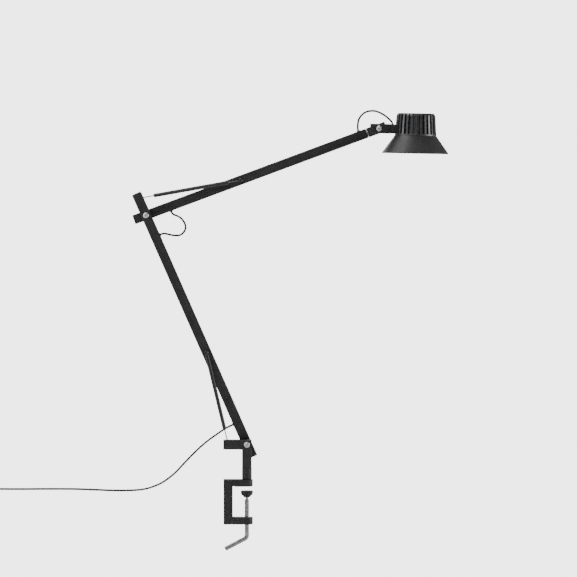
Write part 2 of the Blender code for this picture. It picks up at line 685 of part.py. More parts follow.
def head(frame):
    """The heat sink, shade and light source, turned about the head's own upright axis."""
    sink = place("heat_sink", heat_sink_shape(), "dark_aluminium", frame)
    pocket = block(-0.040, 0.0308 - HEAD_AXIS_X, -HALF, HALF, -HALF, HALF)
    cavity = ring(0.0060, 0.0240, SINK_UNDER - 0.001, 0.0165, 36)
    button_well = rod(BUTTON_R + GAP, 0.0211, SINK_TOP + 0.001, 24)
    cut(sink, pocket, cavity, button_well, rod(0.0017, SINK_UNDER - 0.001, 0.0010, 12))

    s = SHADE_WALL
    outer = [(0.0255, SHADE_TOP), (SHADE_TOP_R - 0.0006, SHADE_TOP), (SHADE_TOP_R, SHADE_TOP - 0.0012)]
    outer += [(SHADE_RIM_R, SHADE_RIM_Z + 0.0016), (SHADE_RIM_R, SHADE_RIM_Z)]
    inner = [(SHADE_RIM_R - s, SHADE_RIM_Z), (SHADE_RIM_R - s, SHADE_RIM_Z + 0.0010)]
    inner += [(shade_inside(SHADE_TOP - s - 0.0004), SHADE_TOP - s - 0.0004), (0.0255, SHADE_TOP - s)]
    place("shade_cone", turned([*outer, *inner], 40), "black_metal", frame)

    board_top = SHADE_TOP - s - GAP
    board_under = board_top - 0.0016
    board = [(0.0017, board_under), (0.0290, board_under), (0.0290, board_top), (0.0017, board_top)]
    place("led_board", turned(board, 32), "white_plastic", frame)
    head_top = board_under - GAP
    screw = [(0, head_top - 0.0018), (0.0022, head_top - 0.0018), (0.0028, head_top), (0.0014, head_top)]
    place("led_screw", turned([*screw, (0.0014, 0.0002), (0, 0.0002)], 14), "bright_steel", frame)
    bowl = [(0.0272, head_top), (0.0280, head_top), (0.0345, -0.0200), (0.0442, -0.0292), (0.0432, -0.0292)]
    place("reflector", turned([*bowl, (0.0336, -0.0200)], 28), "white_plastic", frame)
    place("diffuser", rod(shade_inside(-0.0296) - 0.0006, -0.0318, -0.0296, 40), "white_plastic", frame)

    cap = [(0, 0.0226), (BUTTON_R, 0.0226), (BUTTON_R, SINK_TOP - 0.0005)]
    cap += [(BUTTON_R - 0.0006, SINK_TOP - 0.0001), (0, SINK_TOP - 0.0001)]
    place("dimmer_button", turned(cap, 24), "black_plastic", frame)


# Cables that lie free


def loops():
    """The short loops of cable that carry the lead over the elbow and over the head's two joints."""
    y1, y2 = LAYER, 2 * LAYER
    elbow = [(-0.1468, y1, 0.4194), (-0.1424, y1, 0.4213)]
    elbow += [(-0.1378, y1 + 0.001, 0.4221), (-0.1313, y1 + 0.003, 0.4207)]
    elbow += [(-0.1228, y1 + 0.006, 0.4190), (-0.1130, y1 + 0.009, 0.4191), (-0.1066, y1 + 0.012, 0.4233)]
    elbow += [(-0.1031, y1 + 0.014, 0.4302), (-0.1036, y1 + 0.0155, 0.4368), (-0.1074, y1 + 0.0165, 0.4437)]
    elbow += [(-0.1126, y2 - 0.0004, 0.4489), (-0.1178, y2, 0.4516), (-0.1225, y2, 0.4534)]
    elbow += [(-0.1258, y2, 0.4562), (-0.1276, y2, 0.4608)]
    wire("elbow_loop", smooth_route(elbow, 0.006), CABLE_R, "cable_black")
    top = (0.2095, 0.0265, 0.6271)
    rear = [(0.1872, y2, 0.5916), (0.1858, y2, 0.5953), (0.1854, y2, 0.6006), (0.1861, y2, 0.6083)]
    rear += [(0.1874, y2 - 0.0005, 0.6132), (0.1899, y2 - 0.001, 0.6173)]
    rear += [(0.1945, y2 - 0.0025, 0.6223), (0.1995, y2 - 0.005, 0.6253), (0.2045, y2 - 0.007, 0.6266), top]
    wire("head_loop_rear", smooth_route(rear, 0.006), CABLE_R, "cable_black")
    front = [(0.2101, 0.0263, 0.6271), (0.2145, 0.0240, 0.6266)]
    front += [(0.2195, 0.0220, 0.6250), (0.2245, 0.0205, 0.6227)]
    front += [(0.2295, 0.0190, 0.6197), (0.2345, 0.0180, 0.6158), (0.2390, y1, 0.6117), (0.2424, y1, 0.6075)]
    front += [(0.2433, y1, 0.6034)]
    wire("head_loop_front", smooth_route(front, 0.006), CABLE_R, "cable_black")


def mains_cord():
    drop = [(-0.0215, LAYER, 0.1028), (-0.0276, LAYER, 0.1001)]
    drop += [(-0.0367, 0.0172, 0.0953), (-0.0500, 0.0150, 0.0864)]
    drop += [(-0.0658, 0.0110, 0.0753), (-0.0790, 0.0055, 0.0644), (-0.0923, -0.0020, 0.0519)]
    wire("mains_cord_drop", smooth_route(drop, 0.008), CABLE_R, "cable_black")
    run = [(-0.0925, -0.0021, 0.0517), (-0.1050, -0.0110, 0.0391), (-0.1186, -0.0220, 0.0253)]
    run += [(-0.1300, -0.0330, 0.0164), (-0.1417, -0.0450, 0.0096), (-0.1542, -0.0580, 0.0051)]
    run += [(-0.1650, -0.0690, 0.0027), (-0.1749, -0.0785, 0.0018), (-0.1930, -0.0912, 0.0018)]
    run += [(-0.2190, -0.0915, 0.0018), (-0.2480, -0.0800, 0.0018), (-0.2812, -0.0675, 0.0018)]
    run += [(-0.3250, -0.0650, 0.0018), (-0.3678, -0.0675, 0.0018), (-0.4071, -0.0675, 0.0018)]
    run += [(COIL_AT[0] + 0.0205, COIL_AT[1] + COIL_R, 0.0018)]
    wire("mains_cord_run", smooth_route(run, 0.0088), CABLE_R, "cable_black")
    low, high = COIL_R - COIL_HALF, COIL_R + COIL_HALF
    bundle = [(low + 0.002, 0), (high - 0.002, 0), (high, 0.0025), (high, COIL_H - 0.003)]
    bundle += [(high - 0.003, COIL_H), (low + 0.003, COIL_H), (low, COIL_H - 0.003), (low, 0.0025)]
    place("cord_coil", moved(turned(bundle, 32), *COIL_AT), "cable_black")


def plug_adapter():
    """The plug-in power adapter on the cord's end, lying on its side beside the coil."""
    x = COIL_AT[0] - COIL_R
    tip_y = COIL_AT[1] - 0.0202
    relief = 0.024
    back_y = tip_y - relief
    front_y = back_y - 0.052
    outline = rounded_box_outline(x - 0.018, x + 0.018, 0, 0.026, 0.004, 4)
    body = place("plug_adapter", extruded(outline, front_y, back_y, "Y"), "black_plastic")
    cone = turned([(0, -relief - 0.002), (0.0036, -relief - 0.002), (0.0022, 0), (0, 0)], 16)
    join(body, moved(along_y(cone), x, tip_y, 0.0130))
    cut(body, block(x - 0.0112, x + 0.0112, front_y - 0.001, front_y + 0.0021, 0.0072, 0.0191))
    plate = block(x - 0.0109, x + 0.0109, front_y, front_y + 0.0018, 0.0075, 0.0188)
    pins = place("plug_pins", plate, "brass")
    for side in (-1, 1):
        left = x + side * 0.0064 - 0.0008
        join(pins, block(left, left + 0.0016, front_y - 0.017, front_y + 0.001, 0.0100, 0.0163))


def build():
    clear_scene()
    swivel = joint_frame("base_swivel", 0, 0, 0, 0)
    lower_pivot = joint_frame("base_tilt", 0, LAYER, BASE_Z, LOWER_ANGLE, swivel)
    lower = math.radians(LOWER_ANGLE)
    elbow_x, elbow_z = LOWER_ARM * math.cos(lower), BASE_Z + LOWER_ARM * math.sin(lower)
    upper_pivot = joint_frame("elbow", elbow_x, 2 * LAYER, elbow_z, UPPER_ANGLE)
    upper = math.radians(UPPER_ANGLE)
    head_x, head_z = elbow_x + UPPER_ARM * math.cos(upper), elbow_z + UPPER_ARM * math.sin(upper)
    wrist_pivot = joint_frame("wrist_turn", head_x, 2 * LAYER, head_z, UPPER_ANGLE)
    head_pivot = joint_frame("head_tilt", head_x, LAYER, head_z, HEAD_ANGLE)
    shade_frame = joint_frame("shade_axis", HEAD_AXIS_X, 0, 0, 0, head_pivot)

    clamp()
    clamp_screw()
    bracket(swivel)
    base_bolt_line = joint_frame("base_bolt_line", 0, 0, BASE_Z, 0, swivel)
    joint_fasteners("base", base_bolt_line)
    lower_arm(lower_pivot)
    base_anchor = Vector((-ANCHOR_AT * math.cos(lower), ANCHOR_AT * math.sin(lower)))
    spring("lower", lower_pivot, base_anchor, LOWER_WIRE_SHOWS)
    joint_fasteners("elbow", joint_frame("elbow_bolt_line", elbow_x, LAYER, elbow_z, 0))
    upper_arm(upper_pivot)
    between = lower - upper
    elbow_anchor = Vector((ANCHOR_AT * math.cos(between), ANCHOR_AT * math.sin(between)))
    spring("upper", upper_pivot, elbow_anchor, UPPER_WIRE_SHOWS)
    wrist(wrist_pivot)
    head_support(head_pivot)
    joint_fasteners("head", joint_frame("head_bolt_line", head_x, LAYER, head_z, 0))
    head(shade_frame)
    loops()
    mains_cord()
    plug_adapter()


build()
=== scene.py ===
"""The looks of the clamp-on desk lamp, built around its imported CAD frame. Lengths are in metres, +Z up.

The lengths and the cords' routes at the top are the CAD part's own.
Each piece that replaces a CAD node has that node's outer sizes, with finer edges and surfaces.
"""

import json
import math

import bmesh
import bpy
from mathutils import Matrix, Vector
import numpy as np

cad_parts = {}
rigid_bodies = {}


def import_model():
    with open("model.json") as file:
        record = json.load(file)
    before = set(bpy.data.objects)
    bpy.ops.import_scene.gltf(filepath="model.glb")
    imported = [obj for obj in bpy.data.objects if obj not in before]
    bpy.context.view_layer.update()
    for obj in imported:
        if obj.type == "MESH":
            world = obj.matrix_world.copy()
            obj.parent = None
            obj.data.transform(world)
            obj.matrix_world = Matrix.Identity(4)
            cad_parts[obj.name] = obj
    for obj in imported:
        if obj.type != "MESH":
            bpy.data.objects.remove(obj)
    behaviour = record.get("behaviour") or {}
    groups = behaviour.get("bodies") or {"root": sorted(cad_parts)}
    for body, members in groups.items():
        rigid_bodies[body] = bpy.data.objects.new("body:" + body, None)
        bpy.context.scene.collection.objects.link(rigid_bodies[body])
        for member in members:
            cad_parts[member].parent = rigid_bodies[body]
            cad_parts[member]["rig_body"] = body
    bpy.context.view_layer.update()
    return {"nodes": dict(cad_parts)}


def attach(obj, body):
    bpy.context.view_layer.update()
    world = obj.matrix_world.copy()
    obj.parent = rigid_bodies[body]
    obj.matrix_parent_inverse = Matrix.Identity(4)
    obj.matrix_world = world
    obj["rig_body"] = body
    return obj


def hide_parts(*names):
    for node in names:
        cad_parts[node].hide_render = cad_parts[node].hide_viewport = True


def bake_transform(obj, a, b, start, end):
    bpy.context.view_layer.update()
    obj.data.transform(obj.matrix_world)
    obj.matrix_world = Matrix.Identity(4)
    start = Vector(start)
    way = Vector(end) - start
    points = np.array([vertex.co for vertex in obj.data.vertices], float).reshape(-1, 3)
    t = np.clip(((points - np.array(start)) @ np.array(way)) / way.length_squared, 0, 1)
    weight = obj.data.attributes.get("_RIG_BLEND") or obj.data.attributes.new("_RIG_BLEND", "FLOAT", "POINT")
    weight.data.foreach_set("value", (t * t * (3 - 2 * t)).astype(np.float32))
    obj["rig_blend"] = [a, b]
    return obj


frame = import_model()
NODES = frame["nodes"]

# The CAD part's lengths and angles.
TUBE = 0.016
HALF = TUBE / 2
GAP = 0.0003
WASHER = 0.001
LAYER = TUBE + WASHER + 2 * GAP
BASE_Z = 0.070
LOWER_ARM = 0.418
UPPER_ARM = 0.4155
LOWER_ANGLE = 113.77
UPPER_ANGLE = 20.39
HEAD_ANGLE = -1.2
BOLT_R = 0.003
BOLT_HEAD_R = 0.005
BOLT_HEAD_H = 0.0032
NUT_R = 0.0058
NUT_H = 0.005
CABLE_R = 0.00175
MAINS_EXIT_AT = 0.0387
ELBOW_EXIT_AT = 0.3789
ELBOW_ENTRY_AT = 0.0412
HEAD_EXIT_AT = 0.3818
SLEEVE_R = 0.0032
SLEEVE_LENGTH = 0.127
SPRING_PIN_AT = 0.168
ANCHOR_AT = 0.031
WIRE_R = 0.001
LOWER_WIRE_SHOWS = 0.0270
UPPER_WIRE_SHOWS = 0.0257
COLLAR_TOP = 0.0317
COLLAR_R = 0.0082
FOOT_R = 0.0102
FOOT_TOP, FOOT_UNDER = -0.0073, -0.0185
SCREW_SHOULDER = -0.0217
SCREW_R = 0.0037
SCREW_BEND_Z = -0.0860
HANDLE_ANGLE = -152.6
HANDLE = 0.0410
HEAD_AXIS_X = 0.0609
SINK_TOP, SINK_UNDER = 0.0268, -0.0104
SHADE_TOP, SHADE_RIM_Z = -0.0107, -0.0406
SHADE_TOP_R, SHADE_RIM_R = 0.0350, 0.0554
SHADE_WALL = 0.0014
FINS = 27
BUTTON_R = 0.006
COIL_AT = (-0.452, -0.0850)
THREAD_PITCH = 0.00125


# Camera, lights and floor

WHITE = 4.0  # the strength of what the camera sees behind the lamp, which comes out as a very light grey


def camera():
    data = bpy.data.cameras.new("camera")
    data.lens = 224.65
    data.sensor_width = 36
    data.clip_end = 50
    made = bpy.data.objects.new("camera", data)
    eye, target = Vector((0.0695, -6.0, 0.557)), Vector((0.0695, 0.0, 0.3308))
    made.location = eye
    made.rotation_euler = (target - eye).to_track_quat("-Z", "Y").to_euler()
    bpy.context.scene.collection.objects.link(made)
    bpy.context.scene.camera = made


def softbox(name, location, target, size, energy):
    data = bpy.data.lights.new(name, "AREA")
    data.shape = "RECTANGLE"
    data.size, data.size_y = size
    data.energy = energy
    made = bpy.data.objects.new(name, data)
    made.location = location
    made.rotation_euler = (Vector(target) - Vector(location)).to_track_quat("-Z", "Y").to_euler()
    bpy.context.scene.collection.objects.link(made)


def studio():
    world = bpy.data.worlds.new("studio")
    bpy.context.scene.world = world
    world.use_nodes = True
    tree = world.node_tree
    tree.nodes.clear()
    seen = tree.nodes.new("ShaderNodeBackground")
    seen.inputs["Color"].default_value = (1, 1, 1, 1)
    seen.inputs["Strength"].default_value = WHITE
    fill = tree.nodes.new("ShaderNodeBackground")
    fill.inputs["Color"].default_value = (1, 1, 1, 1)
    fill.inputs["Strength"].default_value = 0.28
    path = tree.nodes.new("ShaderNodeLightPath")
    mix = tree.nodes.new("ShaderNodeMixShader")
    out = tree.nodes.new("ShaderNodeOutputWorld")
    tree.links.new(path.outputs["Is Camera Ray"], mix.inputs[0])
    tree.links.new(fill.outputs[0], mix.inputs[1])
    tree.links.new(seen.outputs[0], mix.inputs[2])
    tree.links.new(mix.outputs[0], out.inputs[0])

    middle = (0.05, 0.0, 0.30)
    softbox("left_softbox", (-1.9, -0.3, 3.0), (0.1, 0.0, 0.5), (2.4, 2.2), 46)
    softbox("left_low_softbox", (-2.4, -0.8, 0.7), middle, (1.2, 1.6), 16)
    softbox("front_softbox", (-0.5, -1.9, 1.9), (0.08, 0.0, 0.62), (1.2, 0.8), 11)
    softbox("right_softbox", (2.4, -0.3, 0.6), middle, (1.2, 2.2), 40)
    softbox("top_softbox", (0.0, 0.6, 2.8), middle, (2.0, 1.2), 30)
    softbox("back_softbox", (-0.8, 2.6, 1.4), middle, (2.4, 1.6), 20)


def floor_material():
    """A pale floor that is seen as white, and gives back only as much light as pale paint does."""
    made = bpy.data.materials.new("pale_floor")
    made.use_nodes = True
    tree = made.node_tree
    shader = tree.nodes["Principled BSDF"]
    shader.inputs["Base Color"].default_value = (0.80, 0.80, 0.80, 1)
    shader.inputs["Roughness"].default_value = 0.9
    white = tree.nodes.new("ShaderNodeEmission")
    white.inputs["Strength"].default_value = WHITE
    path = tree.nodes.new("ShaderNodeLightPath")
    mix = tree.nodes.new("ShaderNodeMixShader")
    tree.links.new(path.outputs["Is Camera Ray"], mix.inputs[0])
    tree.links.new(shader.outputs[0], mix.inputs[1])
    tree.links.new(white.outputs[0], mix.inputs[2])
    tree.links.new(mix.outputs[0], tree.nodes["Material Output"].inputs[0])
    return made


def stage():
    """A pale floor, and a thin shelf at the table top's height for the cord and its adapter."""
    paint = floor_material()
    for name, (x0, x1, y0, y1, z0, z1) in {
        "floor": (-4.0, 4.0, -3.0, 4.0, -0.135, -0.125),
        "cord_shelf": (-0.62, -0.158, -0.26, 0.14, -0.010, 0.0),
    }.items():
        bm = bmesh.new()
        bmesh.ops.create_cube(bm, size=1)
        bmesh.ops.scale(bm, vec=(x1 - x0, y1 - y0, z1 - z0), verts=bm.verts)
        bmesh.ops.translate(bm, vec=((x0 + x1) / 2, (y0 + y1) / 2, (z0 + z1) / 2), verts=bm.verts)
        mesh = bpy.data.meshes.new(name)
        bm.to_mesh(mesh)
        bm.free()
        mesh.materials.append(paint)
        made = bpy.data.objects.new(name, mesh)
        bpy.context.scene.collection.objects.link(made)


# Materials


class Paint:
    """A procedural material: a Principled shader whose colour, roughness and bump come from noise."""

    def __init__(self, name, roughness, metallic=0.0, specular=0.5):
        self.material = bpy.data.materials.new(name)
        self.material.use_nodes = True
        self.tree = self.material.node_tree
        self.shader = self.tree.nodes["Principled BSDF"]
        self.shader.inputs["Metallic"].default_value = metallic
        self.shader.inputs["Roughness"].default_value = roughness
        self.shader.inputs["Specular IOR Level"].default_value = specular
        self.place = self.tree.nodes.new("ShaderNodeTexCoord").outputs["Object"]
        self.heights = []

    def noise(self, scale, detail=3.0, stretch=(1, 1, 1), distortion=0.0):
        mapping = self.tree.nodes.new("ShaderNodeMapping")
        mapping.inputs["Scale"].default_value = stretch
        self.tree.links.new(self.place, mapping.inputs["Vector"])
        noise = self.tree.nodes.new("ShaderNodeTexNoise")
        noise.inputs["Scale"].default_value = scale
        noise.inputs["Detail"].default_value = detail
        noise.inputs["Distortion"].default_value = distortion
        self.tree.links.new(mapping.outputs[0], noise.inputs["Vector"])
        return noise.outputs["Fac"]

    def cells(self, scale):
        cells = self.tree.nodes.new("ShaderNodeTexVoronoi")
        cells.inputs["Scale"].default_value = scale
        self.tree.links.new(self.place, cells.inputs["Vector"])
        return cells.outputs["Distance"]

    def bands(self, scale, direction="X", profile="SIN"):
        wave = self.tree.nodes.new("ShaderNodeTexWave")
        wave.wave_type = "BANDS"
        wave.bands_direction = direction
        wave.wave_profile = profile
        wave.inputs["Scale"].default_value = scale
        self.tree.links.new(self.place, wave.inputs["Vector"])
        return wave.outputs["Fac"]

    def colour(self, source, low, high, start=0.35, end=0.65):
        ramp = self.tree.nodes.new("ShaderNodeValToRGB")
        first, last = ramp.color_ramp.elements
        first.position, last.position = start, end
        first.color, last.color = (*low, 1), (*high, 1)
        self.tree.links.new(source, ramp.inputs["Fac"])
        self.tree.links.new(ramp.outputs["Color"], self.shader.inputs["Base Color"])
        return self

    def roughness(self, source, low, high):
        spread = self.tree.nodes.new("ShaderNodeMapRange")
        spread.inputs["From Min"].default_value = 0.3
        spread.inputs["From Max"].default_value = 0.7
        spread.inputs["To Min"].default_value = low
        spread.inputs["To Max"].default_value = high
        self.tree.links.new(source, spread.inputs["Value"])
        self.tree.links.new(spread.outputs[0], self.shader.inputs["Roughness"])
        return self

    def bump(self, source, depth, strength=1.0):
        bump = self.tree.nodes.new("ShaderNodeBump")
        bump.inputs["Distance"].default_value = depth
        bump.inputs["Strength"].default_value = strength
        self.tree.links.new(source, bump.inputs["Height"])
        if self.heights:
            self.tree.links.new(self.heights[-1], bump.inputs["Normal"])
        self.heights.append(bump.outputs[0])
        self.tree.links.new(bump.outputs[0], self.shader.inputs["Normal"])
        return self


def black_metal():
    """Fine-textured black powder coat: a slight orange peel, faint cloudiness and rubbed patches."""
    p = Paint("black_metal", 0.45, specular=0.45)
    p.colour(p.noise(55, 4), (0.0125, 0.0125, 0.0135), (0.0200, 0.0200, 0.0212))
    p.roughness(p.noise(140, 4, distortion=0.6), 0.42, 0.54)
    p.bump(p.noise(620, 2), 0.00002, 0.08)
    return p.bump(p.noise(2600, 2), 0.00001, 0.10).material


def black_plastic():
    """Moulded black plastic with a fine spark-eroded grain."""
    p = Paint("black_plastic", 0.5, specular=0.4)
    p.colour(p.noise(90, 3), (0.0120, 0.0120, 0.0125), (0.0185, 0.0185, 0.0190))
    p.roughness(p.noise(260, 3), 0.42, 0.60)
    return p.bump(p.cells(2400), 0.00003, 0.6).material


def sleeve_plastic():
    """A smooth extruded sleeve with draw lines along it."""
    p = Paint("sleeve_plastic", 0.32, specular=0.5)
    p.colour(p.noise(70, 3), (0.0120, 0.0120, 0.0125), (0.0190, 0.0190, 0.0195))
    p.roughness(p.noise(300, 2, (0.05, 1, 1)), 0.25, 0.40)
    return p.bump(p.noise(1500, 2, (0.02, 1, 1)), 0.00002, 0.5).material


def bright_steel():
    """Bright zinc and nickel plate with a faint cloud and fine wear lines."""
    p = Paint("bright_steel", 0.2, metallic=1.0)
    p.colour(p.noise(160, 4), (0.48, 0.48, 0.50), (0.66, 0.66, 0.675))
    p.roughness(p.noise(420, 4, distortion=0.8), 0.28, 0.42)
    return p.bump(p.noise(1900, 3), 0.000012, 0.6).material


def chrome():
    """Polished chrome plate, a little dulled by handling."""
    p = Paint("chrome", 0.18, metallic=1.0)
    p.colour(p.noise(110, 4), (0.26, 0.26, 0.27), (0.38, 0.38, 0.39))
    p.roughness(p.noise(240, 5, distortion=1.0), 0.14, 0.26)
    return p.bump(p.noise(900, 3), 0.000008, 0.5).material


def spring_steel():
    """Oil-blacked spring wire with drawing lines."""
    p = Paint("spring_steel", 0.3, metallic=1.0)
    p.colour(p.noise(380, 4), (0.10, 0.10, 0.105), (0.20, 0.20, 0.21))
    p.roughness(p.noise(700, 3), 0.24, 0.40)
    return p.bump(p.noise(2600, 2), 0.000015, 0.6).material


def dark_aluminium():
    """Satin black anodised aluminium with fine turning lines across the fins."""
    p = Paint("dark_aluminium", 0.36, metallic=0.85)
    p.colour(p.noise(120, 4), (0.080, 0.080, 0.083), (0.120, 0.120, 0.124))
    p.roughness(p.noise(500, 3), 0.28, 0.42)
    p.bump(p.noise(2600, 2, (1, 1, 5)), 0.00002, 0.5)
    return p.bump(p.bands(2200, "Z"), 0.000012, 0.5).material


def cable_black():
    """Satin PVC jacket with a slightly uneven skin."""
    p = Paint("cable_black", 0.42, specular=0.45)
    p.colour(p.noise(160, 3), (0.0150, 0.0150, 0.0158), (0.0240, 0.0240, 0.0250))
    p.roughness(p.noise(340, 3), 0.34, 0.52)
    return p.bump(p.noise(1300, 3), 0.00004, 0.6).material


def rubber():
    p = Paint("rubber", 0.8, specular=0.25)
    p.colour(p.noise(300, 4), (0.0120, 0.0120, 0.0120), (0.0220, 0.0220, 0.0218))
    p.roughness(p.noise(600, 3), 0.70, 0.90)
    return p.bump(p.noise(2600, 4), 0.00005, 0.7).material


def white_plastic():
    """Natural nylon and white reflector plastic, slightly mottled."""
    p = Paint("white_plastic", 0.45)
    p.colour(p.noise(210, 4), (0.74, 0.74, 0.715), (0.83, 0.83, 0.815))
    p.roughness(p.noise(420, 3), 0.36, 0.52)
    return p.bump(p.noise(1500, 3), 0.00002, 0.5).material


def opal():
    """The diffuser's opal acrylic, with a fine frosted face."""
    p = Paint("opal_diffuser", 0.4)
    p.colour(p.noise(60, 3), (0.80, 0.80, 0.79), (0.86, 0.86, 0.855))
    p.roughness(p.noise(900, 3), 0.34, 0.48)
    p.shader.inputs["Subsurface Weight"].default_value = 0.25
    p.shader.inputs["Subsurface Radius"].default_value = (0.004, 0.004, 0.004)
    return p.bump(p.cells(1500), 0.00004, 0.6).material


def circuit_white():
    """White solder mask over a metal-backed board."""
    p = Paint("circuit_white", 0.35)
    p.colour(p.cells(420), (0.72, 0.73, 0.72), (0.84, 0.84, 0.83), 0.1, 0.5)
    p.roughness(p.noise(500, 3), 0.28, 0.42)
    return p.bump(p.noise(1800, 3), 0.00002, 0.5).material


def brass():
    p = Paint("brass", 0.3, metallic=1.0)
    p.colour(p.noise(240, 4), (0.62, 0.47, 0.22), (0.76, 0.59, 0.30))
    p.roughness(p.noise(520, 4), 0.22, 0.38)
    return p.bump(p.noise(1900, 2, (1, 0.1, 1)), 0.00002, 0.5).material


def phosphor():
    """The yellow silicone of a light-emitting chip."""
    p = Paint("phosphor", 0.3)
    p.colour(p.noise(900, 3), (0.78, 0.62, 0.12), (0.88, 0.74, 0.22))
    p.roughness(p.noise(900, 2), 0.20, 0.40)
    return p.bump(p.noise(2600, 2), 0.00002, 0.5).material


def shade_enamel():
    """The shade's satin black enamel, with a faint cloud and the ripple of a spun sheet."""
    p = Paint("shade_enamel", 0.36, specular=0.5)
    p.colour(p.noise(45, 4), (0.0130, 0.0130, 0.0140), (0.0190, 0.0190, 0.0202))
    p.roughness(p.noise(120, 4, distortion=0.6), 0.36, 0.48)
    p.bump(p.noise(260, 2, (1, 1, 3)), 0.00003, 0.25)
    return p.bump(p.noise(2200, 2), 0.000012, 0.3).material


def tie_wire():
    """A plastic-coated twist tie."""
    p = Paint("tie_wire", 0.5)
    p.colour(p.noise(200, 3), (0.016, 0.016, 0.017), (0.026, 0.026, 0.027))
    p.roughness(p.noise(420, 2), 0.40, 0.60)
    return p.bump(p.noise(1500, 2), 0.00005, 0.6).material


MATERIALS = {
    "black_metal": black_metal(),
    "black_plastic": black_plastic(),
    "sleeve_plastic": sleeve_plastic(),
    "bright_steel": bright_steel(),
    "chrome": chrome(),
    "spring_steel": spring_steel(),
    "dark_aluminium": dark_aluminium(),
    "cable_black": cable_black(),
    "rubber": rubber(),
    "white_plastic": white_plastic(),
    "opal": opal(),
    "circuit_white": circuit_white(),
    "brass": brass(),
    "phosphor": phosphor(),
    "shade_enamel": shade_enamel(),
    "tie_wire": tie_wire(),
}


# Placing


def at(x, y, z, angle=0.0):
    """A joint's frame, whose +X lies at this angle above world +X in the XZ plane."""
    return Matrix.Translation((x, y, z)) @ Matrix.Rotation(-math.radians(angle), 4, "Y")


def shifted(matrix, x=0.0, y=0.0, z=0.0):
    return matrix @ Matrix.Translation((x, y, z))


ORIGIN = Matrix.Identity(4)
LOWER = at(0, LAYER, BASE_Z, LOWER_ANGLE)
ELBOW = LOWER @ Vector((LOWER_ARM, 0, 0))
UPPER = at(ELBOW.x, 2 * LAYER, ELBOW.z, UPPER_ANGLE)
HEAD_BOLT = UPPER @ Vector((UPPER_ARM, 0, 0))
WRIST = at(HEAD_BOLT.x, 2 * LAYER, HEAD_BOLT.z, UPPER_ANGLE)
HEAD = at(HEAD_BOLT.x, LAYER, HEAD_BOLT.z, HEAD_ANGLE)
SHADE = shifted(HEAD, HEAD_AXIS_X)
ALONG_X = Matrix.Rotation(math.radians(90), 4, "Y")
ALONG_Y = Matrix.Rotation(math.radians(-90), 4, "X")
UPSIDE_DOWN = Matrix.Rotation(math.pi, 4, "X")


def piece(name, bm, finish, body, nodes=(), where=ORIGIN, sharp=38):
    """A finished piece from a bmesh, riding on a body and standing for CAD nodes."""
    bmesh.ops.recalc_face_normals(bm, faces=bm.faces)
    mesh = bpy.data.meshes.new(name)
    bm.to_mesh(mesh)
    bm.free()
    mesh.materials.append(MATERIALS[finish])
    mesh.shade_smooth()
    mesh.set_sharp_from_angle(angle=math.radians(sharp))
    made = bpy.data.objects.new(name, mesh)
    bpy.context.scene.collection.objects.link(made)
    made.matrix_world = where
    if body:
        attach(made, body)
    if nodes:
        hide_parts(*nodes)
    return made


def applied(obj):
    """Bakes an object's modifiers into its mesh."""
    graph = bpy.context.evaluated_depsgraph_get()
    finished = bpy.data.meshes.new_from_object(obj.evaluated_get(graph))
    obj.modifiers.clear()
    obj.data = finished
    return obj


def softened(node, finish, width=0.0004, segments=3):
    """A copy of a CAD piece with its sharp edges rounded over, which stands for it."""
    source = NODES[node]
    bm = bmesh.new()
    bm.from_mesh(source.data)
    bmesh.ops.remove_doubles(bm, verts=bm.verts, dist=2e-6)
    bmesh.ops.dissolve_limit(bm, angle_limit=math.radians(0.8), verts=bm.verts, edges=bm.edges)
    made = piece(f"{node}_finish", bm, finish, None)
    for layer in [a.name for a in made.data.attributes if a.name == "custom_normal"]:
        made.data.attributes.remove(made.data.attributes[layer])
    bevel = made.modifiers.new("edges", "BEVEL")
    bevel.width = width
    bevel.segments = segments
    bevel.limit_method = "ANGLE"
    bevel.angle_limit = math.radians(40)
    bevel.use_clamp_overlap = True
    bevel.miter_outer = "MITER_ARC"
    applied(made)
    made.data.shade_smooth()
    made.data.set_sharp_from_angle(angle=math.radians(50))
    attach(made, source["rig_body"])
    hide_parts(node)
    return made


# Shapes


def filleted(points, radius, steps=4, closed=True):
    """A line of 2D points with its corners rounded; a point on the axis of turning stays."""
    out = []
    n = len(points)
    for i, p in enumerate(points):
        here = Vector(p)
        if (not closed and i in (0, n - 1)) or p[0] < 1e-7:
            out.append(tuple(p))
            continue
        before, after = Vector(points[i - 1]) - here, Vector(points[(i + 1) % n]) - here
        turn = before.angle(after, math.pi)
        if turn > math.radians(172) or min(before.length, after.length) < 1e-6:
            out.append(tuple(p))
            continue
        reach = min(radius / math.tan(turn / 2), 0.45 * before.length, 0.45 * after.length)
        a, b = here + before.normalized() * reach, here + after.normalized() * reach
        for k in range(steps + 1):
            t = k / steps
            out.append(tuple((1 - t) ** 2 * a + 2 * t * (1 - t) * here + t * t * b))
    return out


def turned(profile, steps=72):
    """A solid of revolution about Z from a closed line of (radius, height)."""
    bm = bmesh.new()
    rings = []
    for r, z in profile:
        if r < 1e-7:
            rings.append([bm.verts.new((0, 0, z))])
            continue
        angles = [math.tau * k / steps for k in range(steps)]
        rings.append([bm.verts.new((r * math.cos(t), r * math.sin(t), z)) for t in angles])
    stitch(bm, rings, closed=True)
    return bm


def stitch(bm, rings, closed=False):
    """Joins rings of vertices with faces; a ring may be a single point."""
    pairs = list(zip(rings, rings[1:]))
    if closed:
        pairs.append((rings[-1], rings[0]))
    for a, b in pairs:
        if len(a) == 1 and len(b) == 1:
            continue
        for k in range(max(len(a), len(b))):
            corners = [a[k % len(a)], a[(k + 1) % len(a)], b[(k + 1) % len(b)], b[k % len(b)]]
            corners = list(dict.fromkeys(corners))
            if len(corners) > 2:
                bm.faces.new(corners)


